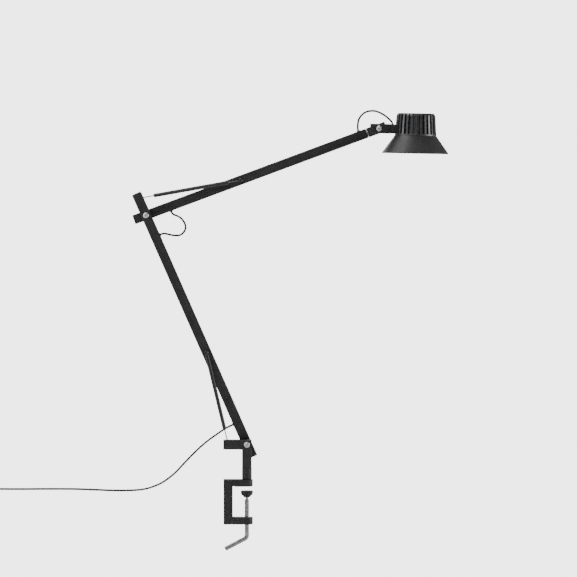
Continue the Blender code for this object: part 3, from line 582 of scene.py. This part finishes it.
def smooth_route(points, step):
    """Points about a step apart on a centripetal Catmull-Rom curve through the route's own points."""
    p = [Vector(q) for q in points]
    p = [2 * p[0] - p[1], *p, 2 * p[-1] - p[-2]]
    fine = []
    for a, b, c, d in zip(p, p[1:], p[2:], p[3:]):
        t = [0.0]
        for u, v in ((a, b), (b, c), (c, d)):
            t.append(t[-1] + max((v - u).length, 1e-6) ** 0.5)
        for k in range(24):
            s = t[1] + (t[2] - t[1]) * k / 24
            ab = a.lerp(b, (s - t[0]) / (t[1] - t[0]))
            bc = b.lerp(c, (s - t[1]) / (t[2] - t[1]))
            cd = c.lerp(d, (s - t[2]) / (t[3] - t[2]))
            abc = ab.lerp(bc, (s - t[0]) / (t[2] - t[0]))
            bcd = bc.lerp(cd, (s - t[1]) / (t[3] - t[1]))
            fine.append(abc.lerp(bcd, (s - t[1]) / (t[2] - t[1])))
    fine.append(p[-2])
    return evenly(fine, step)


def evenly(line, step):
    """A line of points resampled to points about a step apart."""
    length = line_length(line)
    count = max(2, round(length / step))
    out, passed, nearest = [line[0]], 0.0, 1
    for u, v in zip(line, line[1:]):
        here = (v - u).length
        while nearest < count and passed + here >= length * nearest / count:
            out.append(u.lerp(v, (length * nearest / count - passed) / here))
            nearest += 1
        passed += here
    out.append(line[-1])
    return out


def line_length(line):
    return sum((v - u).length for u, v in zip(line, line[1:]))


def swept(points, radius, sides=14, ends=0.0):
    """A round bar along the points with closed ends; ends is how far they are rounded over."""
    n = len(points)
    tangents = [(points[min(i + 1, n - 1)] - points[max(i - 1, 0)]).normalized() for i in range(n)]
    stations = [(p, t, radius) for p, t in zip(points, tangents)]
    if ends:
        first, last = stations[0], stations[-1]
        stations[0] = (first[0] + first[1] * ends, first[1], radius)
        stations[-1] = (last[0] - last[1] * ends, last[1], radius)
        stations.insert(0, (first[0], first[1], radius - ends))
        stations.append((last[0], last[1], radius - ends))
    bm = bmesh.new()
    rings = []
    normal = stations[0][1].orthogonal().normalized()
    for p, ahead, r in stations:
        normal = (normal - ahead * normal.dot(ahead)).normalized()
        side = ahead.cross(normal)
        angles = [math.tau * k / sides for k in range(sides)]
        rings.append([bm.verts.new(p + r * (math.cos(t) * normal + math.sin(t) * side)) for t in angles])
    stitch(bm, rings)
    bm.faces.new(rings[0])
    bm.faces.new(rings[-1])
    return bm


def hex_radius(flat, t):
    """The distance from the middle of a hexagon, half its width across flats, to its edge at an angle."""
    return flat / math.cos((t % (math.tau / 6)) - math.tau / 12)


# Cords


def cable(name, line, bodies, nodes, end=None, sides=14):
    """A cable that bends between two bodies, from its line's start to its end or a nearer point."""
    made = piece(name, swept(line, CABLE_R, sides), "cable_black", None, nodes)
    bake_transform(made, *bodies, start=line[0], end=end or line[-1])
    return made


def loops():
    """The short loops of lead over the elbow and over the head's two joints."""
    y1, y2 = LAYER, 2 * LAYER
    elbow = [(-0.1468, y1, 0.4194), (-0.1424, y1, 0.4213)]
    elbow += [(-0.1378, y1 + 0.001, 0.4221), (-0.1313, y1 + 0.003, 0.4207)]
    elbow += [(-0.1228, y1 + 0.006, 0.4190), (-0.1130, y1 + 0.009, 0.4191), (-0.1066, y1 + 0.012, 0.4233)]
    elbow += [(-0.1031, y1 + 0.014, 0.4302), (-0.1036, y1 + 0.0155, 0.4368), (-0.1074, y1 + 0.0165, 0.4437)]
    elbow += [(-0.1126, y2 - 0.0004, 0.4489), (-0.1178, y2, 0.4516), (-0.1225, y2, 0.4534)]
    elbow += [(-0.1258, y2, 0.4562), (-0.1276, y2, 0.4608)]
    line = smooth_route(elbow, 0.0015)
    loop = cable("elbow_loop_cable", line, ("lower_arm", "upper_arm"), ["elbow_loop"])

    rear = [(0.1872, y2, 0.5916), (0.1858, y2, 0.5953), (0.1854, y2, 0.6006), (0.1861, y2, 0.6083)]
    rear += [(0.1874, y2 - 0.0005, 0.6132), (0.1899, y2 - 0.001, 0.6173), (0.1945, y2 - 0.0025, 0.6223)]
    rear += [(0.1995, y2 - 0.005, 0.6253), (0.2045, y2 - 0.007, 0.6266), (0.2095, 0.0265, 0.6271)]
    line = smooth_route(rear, 0.0015)
    loop = cable("head_loop_rear_cable", line, ("upper_arm", "wrist"), ["head_loop_rear"])

    front = [(0.2098, 0.0264, 0.6271), (0.2145, 0.0240, 0.6266), (0.2195, 0.0220, 0.6250)]
    front += [(0.2245, 0.0205, 0.6227), (0.2295, 0.0190, 0.6197), (0.2345, 0.0180, 0.6158)]
    front += [(0.2390, y1, 0.6117), (0.2424, y1, 0.6075), (0.2433, y1, 0.6034)]
    line = smooth_route(front, 0.0015)
    loop = cable("head_loop_front_cable", line, ("wrist", "head"), ["head_loop_front"])


def coil_turns():
    """The wound part of the cord, in four flat layers of turns, each wound back over the one below."""
    outer, inner, spacing, layer_height = 0.0229, 0.0121, 0.0036, 0.0034
    per_layer = (outer - inner) / spacing
    climb = 0.35
    total = 12.25
    line = []
    steps = 40
    for k in range(int(total * steps) + 1):
        wound = k / steps
        layer = min(int(wound / (per_layer + climb)), 3)
        along = wound - layer * (per_layer + climb)
        share = min(along / per_layer, 1.0)
        rise = min(max(along - per_layer, 0.0) / climb, 1.0)
        rise = rise * rise * (3 - 2 * rise)
        r = outer + (inner - outer) * (share if layer % 2 == 0 else 1 - share)
        t = math.radians(90) + math.tau * wound
        z = CABLE_R + 0.0001 + layer_height * (layer + rise)
        line.append(Vector((COIL_AT[0] + r * math.cos(t), COIL_AT[1] + r * math.sin(t), z)))
    return line


def coil_tie():
    """A twist tie round the coil's turns, with its two ends twisted together."""
    x, y = COIL_AT
    middle, across, high = 0.0175, 0.0084, 0.0072
    wrap = []
    for k in range(33):
        t = math.tau * k / 32 + math.radians(90)
        r = middle + across * math.cos(t)
        wrap.append(Vector((x + r, y + 0.0006 * math.sin(2 * t), high + 0.0071 * math.sin(t))))
    bm = swept(wrap, 0.0005, 8)
    for side in (0, math.pi):
        twist = []
        for k in range(25):
            t = side + 0.9 * k
            lift = 0.0145 + 0.00035 * k
            here = Vector((x + middle, y - 0.0001 * k, lift))
            twist.append(here + 0.0005 * Vector((math.cos(t), math.sin(t), 0)))
        part = swept(twist, 0.00045, 8)
        mesh = bpy.data.meshes.new("twist")
        part.to_mesh(mesh)
        part.free()
        bm.from_mesh(mesh)
        bpy.data.meshes.remove(mesh)
    return piece("coil_tie", bm, "tie_wire", "clamp")


def mains_cord():
    y1 = LAYER
    drop = [(-0.0215, y1, 0.1028), (-0.0276, y1, 0.1001), (-0.0367, 0.0172, 0.0953)]
    drop += [(-0.0500, 0.0150, 0.0864), (-0.0658, 0.0110, 0.0753)]
    drop += [(-0.0790, 0.0055, 0.0644), (-0.0923, -0.0020, 0.0519)]
    line = smooth_route(drop, 0.002)
    hanging = cable("mains_cord_drop_cable", line, ("lower_arm", "bracket"), ["mains_cord_drop"])

    run = [(-0.0925, -0.0021, 0.0517), (-0.1050, -0.0110, 0.0391), (-0.1186, -0.0220, 0.0253)]
    run += [(-0.1300, -0.0330, 0.0164), (-0.1417, -0.0450, 0.0096), (-0.1542, -0.0580, 0.0051)]
    run += [(-0.1650, -0.0690, 0.0027), (-0.1749, -0.0785, 0.0018), (-0.1930, -0.0912, 0.0018)]
    run += [(-0.2190, -0.0915, 0.0018), (-0.2480, -0.0800, 0.0018), (-0.2812, -0.0675, 0.0018)]
    run += [(-0.3250, -0.0650, 0.0018), (-0.3678, -0.0675, 0.0018), (-0.4071, -0.0660, 0.0018)]
    run += [(-0.4300, -0.0627, 0.0018)]
    turns = coil_turns()
    x, y = COIL_AT[0] - 0.0175, COIL_AT[1]
    away = [(turns[-1].x + 0.0002, y - 0.0060, 0.0122), (x - 0.0010, y - 0.0130, 0.0126)]
    away.append((x, y - 0.0199, 0.0130))
    line = smooth_route([*run, *[tuple(p) for p in turns[1:]], *away], 0.0025)
    nodes = ["mains_cord_run", "cord_coil"]
    lying = cable("mains_cord_cable", line, ("bracket", "clamp"), nodes, (-0.30, -0.0655, 0.0018), 12)
    carried = [NODES["plug_adapter"], NODES["plug_pins"], coil_tie()]


# Fasteners


def bolt(kind, body, x, y, z):
    """A button-head bolt along +Y with a hexagon socket, through the member at y and the one behind it."""
    length = LAYER + 2 * HALF + 2 * GAP + NUT_H + 0.0015
    steps = 48
    angles = [math.tau * (k + 0.5) / steps for k in range(steps)]
    rise = (0, 0.2, 0.45, 0.7, 0.9, 1.08)
    dome = [(BOLT_HEAD_R * math.cos(t), -BOLT_HEAD_H * (0.28 + 0.72 * math.sin(t))) for t in rise]
    socket_flat, socket_depth = 0.0018, 0.0012
    socket = [hex_radius(socket_flat, t) for t in angles]
    lines = [[0.0] * steps, socket, socket]
    heights = [-BOLT_HEAD_H + socket_depth, -BOLT_HEAD_H + socket_depth, -BOLT_HEAD_H + 0.0001]
    lines += [[hex_radius(socket_flat, t) + 0.00015 for t in angles], *[[r] * steps for r, _ in dome[::-1]]]
    heights += [-BOLT_HEAD_H, *[h for _, h in dome[::-1]]]
    shank = [(BOLT_HEAD_R, -0.0003), (BOLT_HEAD_R - 0.0003, 0.0), (BOLT_R, 0.0), (BOLT_R, length - 0.0005)]
    shank += [(BOLT_R - 0.0005, length)]
    lines += [[r] * steps for r, _ in shank]
    heights += [h for _, h in shank]
    bm = bmesh.new()
    rings = [[bm.verts.new((0, 0, heights[0]))]]
    for radii, h in zip(lines[1:], heights[1:]):
        rings.append([bm.verts.new((r * math.cos(t), r * math.sin(t), h)) for r, t in zip(radii, angles)])
    rings.append([bm.verts.new((0, 0, length))])
    stitch(bm, rings)
    where = Matrix.Translation((x, y - HALF - GAP, z)) @ ALONG_Y
    piece(f"{kind}_bolt_finish", bm, "bright_steel", body, [f"{kind}_bolt"], where, sharp=30)


def lock_nut(kind, body, x, y, z):
    """A hexagon lock nut with chamfered corners and a rolled collar."""
    steps = 48
    angles = [math.tau * k / steps for k in range(steps)]
    flat = NUT_R * math.cos(math.radians(30))
    hexagon = [hex_radius(flat, t + math.tau / 12) for t in angles]
    levels = ((0.0, NUT_R * 0.92), (0.0005, NUT_R), (0.0030, NUT_R), (0.0036, NUT_R * 0.90))
    bm = bmesh.new()
    rings = []
    for h, most in levels:
        radii = [min(r, most) for r in hexagon]
        rings.append([bm.verts.new((r * math.cos(t), r * math.sin(t), h)) for r, t in zip(radii, angles)])
    collar = ((0.0046, 0.0037), (0.0046, 0.0044), (0.0042, NUT_H), (0.0036, NUT_H))
    for r, h in (*collar, (BOLT_R + GAP, 0.0047), (BOLT_R + GAP, 0.0)):
        rings.append([bm.verts.new((r * math.cos(t), r * math.sin(t), h)) for t in angles])
    stitch(bm, rings, closed=True)
    where = Matrix.Translation((x, y + LAYER + HALF + GAP, z)) @ ALONG_Y
    piece(f"{kind}_nut_finish", bm, "bright_steel", body, [f"{kind}_nut"], where, sharp=30)


def joint_fasteners():
    for kind, body, (x, y, z) in (
        ("base", "bracket", (0.0, 0.0, BASE_Z)),
        ("elbow", "lower_arm", (ELBOW.x, LAYER, ELBOW.z)),
        ("head", "head", (HEAD_BOLT.x, LAYER, HEAD_BOLT.z)),
    ):
        bolt(kind, body, x, y, z)
        lock_nut(kind, body, x, y, z)


def washers_and_bushes():
    front = -HALF - GAP
    flange = [(BOLT_R + GAP, front - WASHER), (0.0065, front - WASHER), (0.0065, front), (0.0050, front)]
    bush = filleted([*flange, (0.0050, HALF), (BOLT_R + GAP, HALF)], 0.0002)
    piece("base_bush_finish", turned(bush), "white_plastic", "lower_arm", ["base_bush"], LOWER @ ALONG_Y)
    piece("elbow_bush_finish", turned(bush), "white_plastic", "upper_arm", ["elbow_bush"], UPPER @ ALONG_Y)
    washer = filleted([(BOLT_R + GAP, 0), (0.0065, 0), (0.0065, WASHER), (BOLT_R + GAP, WASHER)], 0.00025)
    where = shifted(WRIST, 0, front - WASHER) @ ALONG_Y
    piece("head_washer_finish", turned(washer), "bright_steel", "wrist", ["head_washer"], where)
    end = UPPER_ARM - 0.0215 + GAP
    washer = filleted([(0.0043, end), (0.0070, end), (0.0070, end + 0.0012), (0.0043, end + 0.0012)], 0.0003)
    where = UPPER @ ALONG_X
    piece("wrist_washer_finish", turned(washer), "bright_steel", "upper_arm", ["wrist_washer"], where)


# Clamp and bracket


def thread_radius(z, t):
    """The clamp screw's thread: rounded crests with the pitch of an M8 screw."""
    phase = (z / THREAD_PITCH - t / math.tau) % 1.0
    return SCREW_R - 0.0001 * (0.5 - 0.5 * math.cos(math.tau * phase)) ** 1.5


def clamp_screw():
    """The screw's tip, threaded shank, smooth bend and handle, as one bar."""
    angle = math.radians(HANDLE_ANGLE)
    slope = Vector((math.cos(angle), 0, math.sin(angle)))
    bend_r = 0.008
    sweep = -math.pi / 2 - angle
    tangent = bend_r * math.tan(sweep / 2)
    bend_top = SCREW_BEND_Z + tangent
    centre = Vector((-bend_r, 0, bend_top))
    down = Vector((0, 0, -1))
    stations = []
    tip = ((-0.0112, 0.0020), (-0.0114, 0.0024), (-0.0118, 0.0030), (-0.0134, 0.0030), (-0.0148, 0.0021))
    tip += ((SCREW_SHOULDER + 0.0001, 0.0021), (SCREW_SHOULDER, 0.0029), (SCREW_SHOULDER - 0.0004, 0.0033))
    stations += [(Vector((0, 0, z)), down, r) for z, r in tip]
    thread_top, thread_low = -0.0226, -0.0770
    rows = 348
    for k in range(rows + 1):
        z = thread_top + (thread_low - thread_top) * k / rows
        stations.append((Vector((0, 0, z)), down, None))
    stations.append((Vector((0, 0, thread_low - 0.0008)), down, SCREW_R - 0.0002))
    for k in range(13):
        t = sweep * k / 12
        ahead = Vector((-math.sin(t), 0, -math.cos(t)))
        stations.append((centre + bend_r * Vector((math.cos(t), 0, -math.sin(t))), ahead, SCREW_R))
    end = Vector((0, 0, SCREW_BEND_Z)) + HANDLE * slope
    for back, r in ((0.0012, 0.0), (0.0007, 0.00012), (0.0003, 0.00045), (0.0, 0.0011)):
        stations.append((end - back * slope, slope, SCREW_R - r))
    steps = 28
    bm = bmesh.new()
    rings = []
    for p, ahead, r in stations:
        side = Vector((0, 1, 0)).cross(ahead).normalized()
        ring = []
        for k in range(steps):
            t = math.tau * k / steps
            here = thread_radius(p.z, t) if r is None else r
            ring.append(bm.verts.new(p + here * (math.cos(t) * side + Vector((0, math.sin(t), 0)))))
        rings.append(ring)
    stitch(bm, rings)
    bm.faces.new(rings[0])
    bm.faces.new(rings[-1])
    piece("clamp_screw_finish", bm, "chrome", "clamp_screw", ["clamp_screw"], sharp=50)


def clamp():
    softened("clamp_frame", "black_metal", 0.0006, 4)
    softened("jaw_liner", "rubber", 0.0002, 2)
    cap = [(0, FOOT_TOP), (FOOT_R, FOOT_TOP), (FOOT_R, -0.0114)]
    skirt = [(FOOT_R - 0.0010, -0.0138), (FOOT_R - 0.0042, -0.0166)]
    skirt += [(0.0046, FOOT_UNDER), (0.0024, FOOT_UNDER)]
    socket = [(0.0024, -0.0150), (0.0034, -0.0140), (0.0034, -0.0108), (0, -0.0108)]
    foot = filleted([*cap, *skirt, *socket], 0.0007, 5)
    piece("screw_foot_finish", turned(foot), "black_plastic", "clamp_foot", ["screw_foot"])
    clamp_screw()
    bush = [(0.0043, 0.0059), (0.0057, 0.0059), (0.0057, 0.0120)]
    bush += [(0.0078, 0.0120), (0.0078, 0.0128), (0.0043, 0.0128)]
    piece("swivel_bush_finish", turned(filleted(bush, 0.0002)), "black_plastic", "clamp", ["swivel_bush"])


def bracket():
    top = [(0, COLLAR_TOP), (COLLAR_R, COLLAR_TOP), (COLLAR_R, 0.0131), (0.0040, 0.0131), (0.0040, 0.0062)]
    stud = filleted([*top, (0.0023, 0.0062), (0.0023, 0.0170), (0, 0.0170)], 0.0005, 5)
    piece("swivel_collar_finish", turned(stud, 96), "black_metal", "bracket", ["swivel_collar"])
    softened("bracket", "black_metal", 0.0004)
    softened("bracket_end_plug", "black_plastic", 0.0003)


# Arms and springs


def grommet(name, body, arm, x, side):
    a, b, c = HALF - 0.0021, HALF + GAP, HALF + 0.0010
    profile = [(0.00205, a), (0.0026, a), (0.0026, b), (0.0038, b), (0.0036, c), (0.00205, c)]
    where = shifted(arm, x) @ (ORIGIN if side > 0 else UPSIDE_DOWN)
    piece(f"{name}_finish", turned(filleted(profile, 0.0003), 40), "rubber", body, [name], where)


def spring_line(pin, anchor):
    """The frame on a spring's pin with +X towards its anchor, and the distance between them."""
    x = (anchor - pin).normalized()
    y = Vector((0, 1, 0))
    z = x.cross(y)
    return Matrix.Translation(pin) @ Matrix((x, y, z)).transposed().to_4x4(), (anchor - pin).length


def spring(which, pin, anchor, wire_shows):
    """A close-wound spring in its sleeve, with an eye round the arm's pin and a wire to the anchor pin."""
    where, length = spring_line(pin, anchor)
    near_end = length - wire_shows
    far_end = near_end - SLEEVE_LENGTH
    bore = SLEEVE_R - 0.00045
    tube = filleted([(bore, far_end), (SLEEVE_R, far_end), (SLEEVE_R, near_end), (bore, near_end)], 0.0002)
    body = f"{which}_arm"
    tube_name = f"{which}_spring_sleeve"
    laid = where @ ALONG_X
    piece(f"{tube_name}_finish", turned(tube, 40), "sleeve_plastic", body, [tube_name], laid)

    start = max(far_end, 0.004) + 0.004
    stop = near_end - 0.018
    coil_r, wire_r, coil_pitch = 0.0019, 0.00045, 0.00102
    eye_r = 0.0028
    eye = [math.radians(45 + 15 * k) for k in range(22)]
    path = [Vector((eye_r * math.cos(t), 0, eye_r * math.sin(t))) for t in eye]
    path.append(Vector((start - 0.0022, 0, 0.0002)))
    turns = (stop - start) / coil_pitch
    per_turn = 9
    for k in range(int(turns * per_turn)):
        t = math.tau * k / per_turn
        r = coil_r * min(1.0, 0.4 + k / per_turn)
        path.append(Vector((start + coil_pitch * k / per_turn, r * math.sin(t), r * math.cos(t))))
    node = f"{which}_spring_coil"
    coil = piece(f"{node}_finish", swept(path, wire_r, 6), "spring_steel", None, [node], where)
    first, last = where @ Vector((start, 0, 0)), where @ Vector((stop, 0, 0))
    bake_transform(coil, body, f"{which}_hook", start=first, end=last)

    eye_r = 0.0026
    hook = [Vector((near_end - 0.030, 0, 0)), Vector((near_end, 0, 0))]
    hook += [Vector((length - eye_r - 0.0016, 0, 0)), Vector((length - eye_r - 0.0004, 0, -0.0001))]
    loop = [math.radians(190 + 10 * k) for k in range(30)]
    hook += [Vector((length + eye_r * math.cos(t), 0, eye_r * math.sin(t))) for t in loop]
    bm = swept(hook, WIRE_R, 14, ends=0.0003)
    node = f"{which}_spring_hook"
    piece(f"{node}_finish", bm, "spring_steel", f"{which}_hook", [node], where)


def spring_pin(name, body, arm):
    """The turned pin in the arm's near face that a spring's eye goes round."""
    tip = -LAYER - 0.0022
    profile = [(0, tip - 0.0012), (0.0026, tip - 0.0012), (0.0026, tip), (0.0018, tip)]
    profile += [(0.0018, tip + 0.0044), (0.0026, tip + 0.0044), (0.0026, -HALF - GAP)]
    profile += [(0.0018, -HALF - GAP), (0.0018, -HALF + 0.0040), (0, -HALF + 0.0040)]
    bm = turned(filleted(profile, 0.0003), 40)
    piece(f"{name}_finish", bm, "black_metal", body, [name], shifted(arm, SPRING_PIN_AT) @ ALONG_Y)


def arms():
    for node in ("lower_arm_tube", "upper_arm_tube"):
        softened(node, "black_metal", 0.0003)
    for node in ("lower_arm_foot_plug", "lower_arm_top_plug", "upper_arm_end_plug"):
        softened(node, "black_plastic", 0.0003)
    grommet("mains_cord_grommet", "lower_arm", LOWER, MAINS_EXIT_AT, 1)
    grommet("elbow_loop_lower_grommet", "lower_arm", LOWER, ELBOW_EXIT_AT, -1)
    grommet("elbow_loop_upper_grommet", "upper_arm", UPPER, ELBOW_ENTRY_AT, -1)
    grommet("head_loop_grommet", "upper_arm", UPPER, HEAD_EXIT_AT, 1)
    spring_pin("lower_spring_pin", "lower_arm", LOWER)
    spring_pin("upper_spring_pin", "upper_arm", UPPER)
    lower_pin = LOWER @ Vector((SPRING_PIN_AT, -LAYER, 0))
    spring("lower", lower_pin, Vector((-ANCHOR_AT, 0, BASE_Z)), LOWER_WIRE_SHOWS)
    upper_pin = UPPER @ Vector((SPRING_PIN_AT, -LAYER, 0))
    spring("upper", upper_pin, LOWER @ Vector((LOWER_ARM + ANCHOR_AT, 0, 0)), UPPER_WIRE_SHOWS)
    softened("wrist_block", "black_metal", 0.0005)


# Head


def smoothstep(t):
    t = min(max(t, 0.0), 1.0)
    return t * t * (3 - 2 * t)


def groove_depth(share, z, radius):
    """How deep the heat sink is cut at a share of one fin's pitch; the grooves have round feet."""
    pitch = math.tau * radius / FINS
    off = abs(share - 0.73) * pitch
    half_width, foot_z, edge = 0.27 * pitch, SINK_UNDER + 0.0042, 0.0007
    inside = half_width - (off if z > foot_z else math.hypot(off, z - foot_z))
    return 0.0040 * smoothstep(inside / edge + 0.15)


def heat_sink():
    """The finned body, with the neck's pocket behind and the button's well on top."""
    per_fin = 20
    steps = FINS * per_fin
    angles = [math.tau * k / steps for k in range(steps)]
    under = SINK_UNDER - 0.0002
    low = [under, SINK_UNDER + 0.0003, SINK_UNDER + 0.0008]
    low += [SINK_UNDER + 0.0012 + 0.0004 * k for k in range(11)]
    levels = [(z, 0.0349 - 0.0003 * smoothstep((z + 0.0090) / 0.0022)) for z in low]
    sides = (-0.0040, 0.0, 0.0060, 0.0120, 0.0180, 0.0223)
    levels += [(z, 0.0346 - 0.0021 * (z + 0.0068) / 0.0299) for z in sides]
    levels += [(0.0231, 0.03245), (0.0239, 0.0320), (0.0251, 0.0310), (0.0261, 0.0302)]
    levels += [(0.0266, 0.0296), (SINK_TOP, 0.0290)]
    bm = bmesh.new()
    rings = []
    for z, r in levels:
        outline = []
        for k, t in enumerate(angles):
            cut = groove_depth((k % per_fin) / per_fin, z, r)
            fade = 1.0 if z < 0.0231 else 0.85
            here = r - cut * fade
            outline.append(bm.verts.new((here * math.cos(t), here * math.sin(t), z)))
        rings.append(outline)
    well = BUTTON_R + GAP
    top = ((0.0236, SINK_TOP), (0.0120, SINK_TOP), (well + 0.0004, SINK_TOP))
    for r, z in (*top, (well, SINK_TOP - 0.0004), (well, 0.0211)):
        rings.append([bm.verts.new((r * math.cos(t), r * math.sin(t), z)) for t in angles])
    rings.append([bm.verts.new((0, 0, 0.0211))])
    for r, z in ((0.0300, under), (0.0017, under), (0.0017, 0.0010)):
        rings.insert(0, [bm.verts.new((r * math.cos(t), r * math.sin(t), z)) for t in angles])
    rings.insert(0, [bm.verts.new((0, 0, 0.0010))])
    stitch(bm, rings)
    sink = piece("heat_sink_finish", bm, "dark_aluminium", None, where=SHADE, sharp=42)
    cutter_mesh = bmesh.new()
    bmesh.ops.create_cube(cutter_mesh, size=1)
    x0, x1 = -0.040, 0.0308 - HEAD_AXIS_X
    bmesh.ops.scale(cutter_mesh, vec=(x1 - x0, TUBE, TUBE), verts=cutter_mesh.verts)
    bmesh.ops.translate(cutter_mesh, vec=((x0 + x1) / 2, 0, 0), verts=cutter_mesh.verts)
    cutter = piece("pocket_cutter", cutter_mesh, "dark_aluminium", None, where=SHADE)
    pocket = sink.modifiers.new("pocket", "BOOLEAN")
    pocket.operation = "DIFFERENCE"
    pocket.object = cutter
    bpy.context.view_layer.update()
    applied(sink)
    bpy.data.objects.remove(cutter)
    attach(sink, "head")
    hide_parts("heat_sink")


def shade_inside(z):
    high, low = SHADE_TOP - SHADE_WALL - 0.0004, SHADE_RIM_Z + 0.0010
    return SHADE_TOP_R - SHADE_WALL + (SHADE_RIM_R - SHADE_TOP_R) * (high - z) / (high - low)


def led_chips(board_under):
    """Rings of small square light-emitting chips under the board, each a thin block with soft edges."""
    half, thick, inset = 0.0014, 0.0006, 0.0003
    bm = bmesh.new()
    for radius, count in ((0.0090, 6), (0.0165, 12), (0.0240, 18)):
        for k in range(count):
            turn = Matrix.Rotation(math.tau * (k + 0.5) / count, 4, "Z")
            turn = turn @ Matrix.Translation((radius, 0, board_under))
            rings = []
            levels = ((half, 0.0), (half, -thick * 0.7), (half - inset * 0.4, -thick))
            for size, z in (*levels, (half - inset, -thick)):
                corners = ((1, 1), (-1, 1), (-1, -1), (1, -1))
                rings.append([bm.verts.new(turn @ Vector((a * size, b * size, z))) for a, b in corners])
            stitch(bm, rings)
            bm.faces.new(rings[0])
            bm.faces.new(rings[-1])
    return piece("led_chips", bm, "phosphor", "head", where=SHADE)


def head():
    """The head's bar, neck, heat sink, shade and light source."""
    softened("head_bar", "black_metal", 0.0005)
    softened("head_neck", "black_plastic", 0.0004)
    heat_sink()
    s = SHADE_WALL
    outer = [(0.0255, SHADE_TOP), (SHADE_TOP_R, SHADE_TOP)]
    outer += [(SHADE_RIM_R, SHADE_RIM_Z + 0.0016), (SHADE_RIM_R, SHADE_RIM_Z)]
    inner = [(SHADE_RIM_R - s, SHADE_RIM_Z), (SHADE_RIM_R - s, SHADE_RIM_Z + 0.0010)]
    inner += [(shade_inside(SHADE_TOP - s - 0.0004), SHADE_TOP - s - 0.0004), (0.0255, SHADE_TOP - s)]
    cone = turned(filleted([*outer, *inner], 0.0003, 4), 128)
    finish, slot = "shade_enamel", "black_metal"
    piece("shade_cone_finish", cone, finish, "head", ["shade_cone"], SHADE, sharp=60)

    board_under = SHADE_TOP - s - GAP - 0.0016
    head_top = board_under - GAP
    led_chips(board_under)
    bowl = [(0.0272, head_top), (0.0280, head_top), (0.0345, -0.0200), (0.0442, -0.0292), (0.0432, -0.0292)]
    bowl = filleted([*bowl, (0.0336, -0.0200)], 0.0020, 6)
    piece("reflector_finish", turned(bowl, 96), "white_plastic", "head", ["reflector"], SHADE)
    lens_r = shade_inside(-0.0296) - 0.0006
    lens = [(0, -0.0318), (lens_r, -0.0318), (lens_r, -0.0296), (0, -0.0296)]
    lens = turned(filleted(lens, 0.0006), 96)
    piece("diffuser_finish", lens, "opal", "head", ["diffuser"], SHADE)
    cap = [(0, 0.0226), (BUTTON_R, 0.0226), (BUTTON_R, SINK_TOP - 0.0001), (0.0042, SINK_TOP - 0.0001)]
    cap = filleted([*cap, (0.0030, SINK_TOP - 0.0006), (0, SINK_TOP - 0.0008)], 0.0006, 5)
    piece("dimmer_button_finish", turned(cap, 64), "black_plastic", "button", ["dimmer_button"], SHADE)


# Everything together


def carried_over():
    """Finishes for the CAD pieces that keep their own shape."""
    finishes = {
        "plug_adapter": "black_plastic",
        "plug_pins": "brass",
        "lower_arm_cable": "cable_black",
        "upper_arm_cable": "cable_black",
        "lower_anchor_pin": "bright_steel",
        "upper_anchor_pin": "bright_steel",
        "swivel_screw": "bright_steel",
        "wrist_clip": "spring_steel",
        "wrist_socket": "white_plastic",
        "led_board": "circuit_white",
        "led_screw": "bright_steel",
    }
    for node, finish in finishes.items():
        for slot in NODES[node].material_slots:
            slot.material = MATERIALS[finish]


camera()
studio()
stage()
loops()
mains_cord()
clamp()
bracket()
arms()
joint_fasteners()
washers_and_bushes()
head()
carried_over()
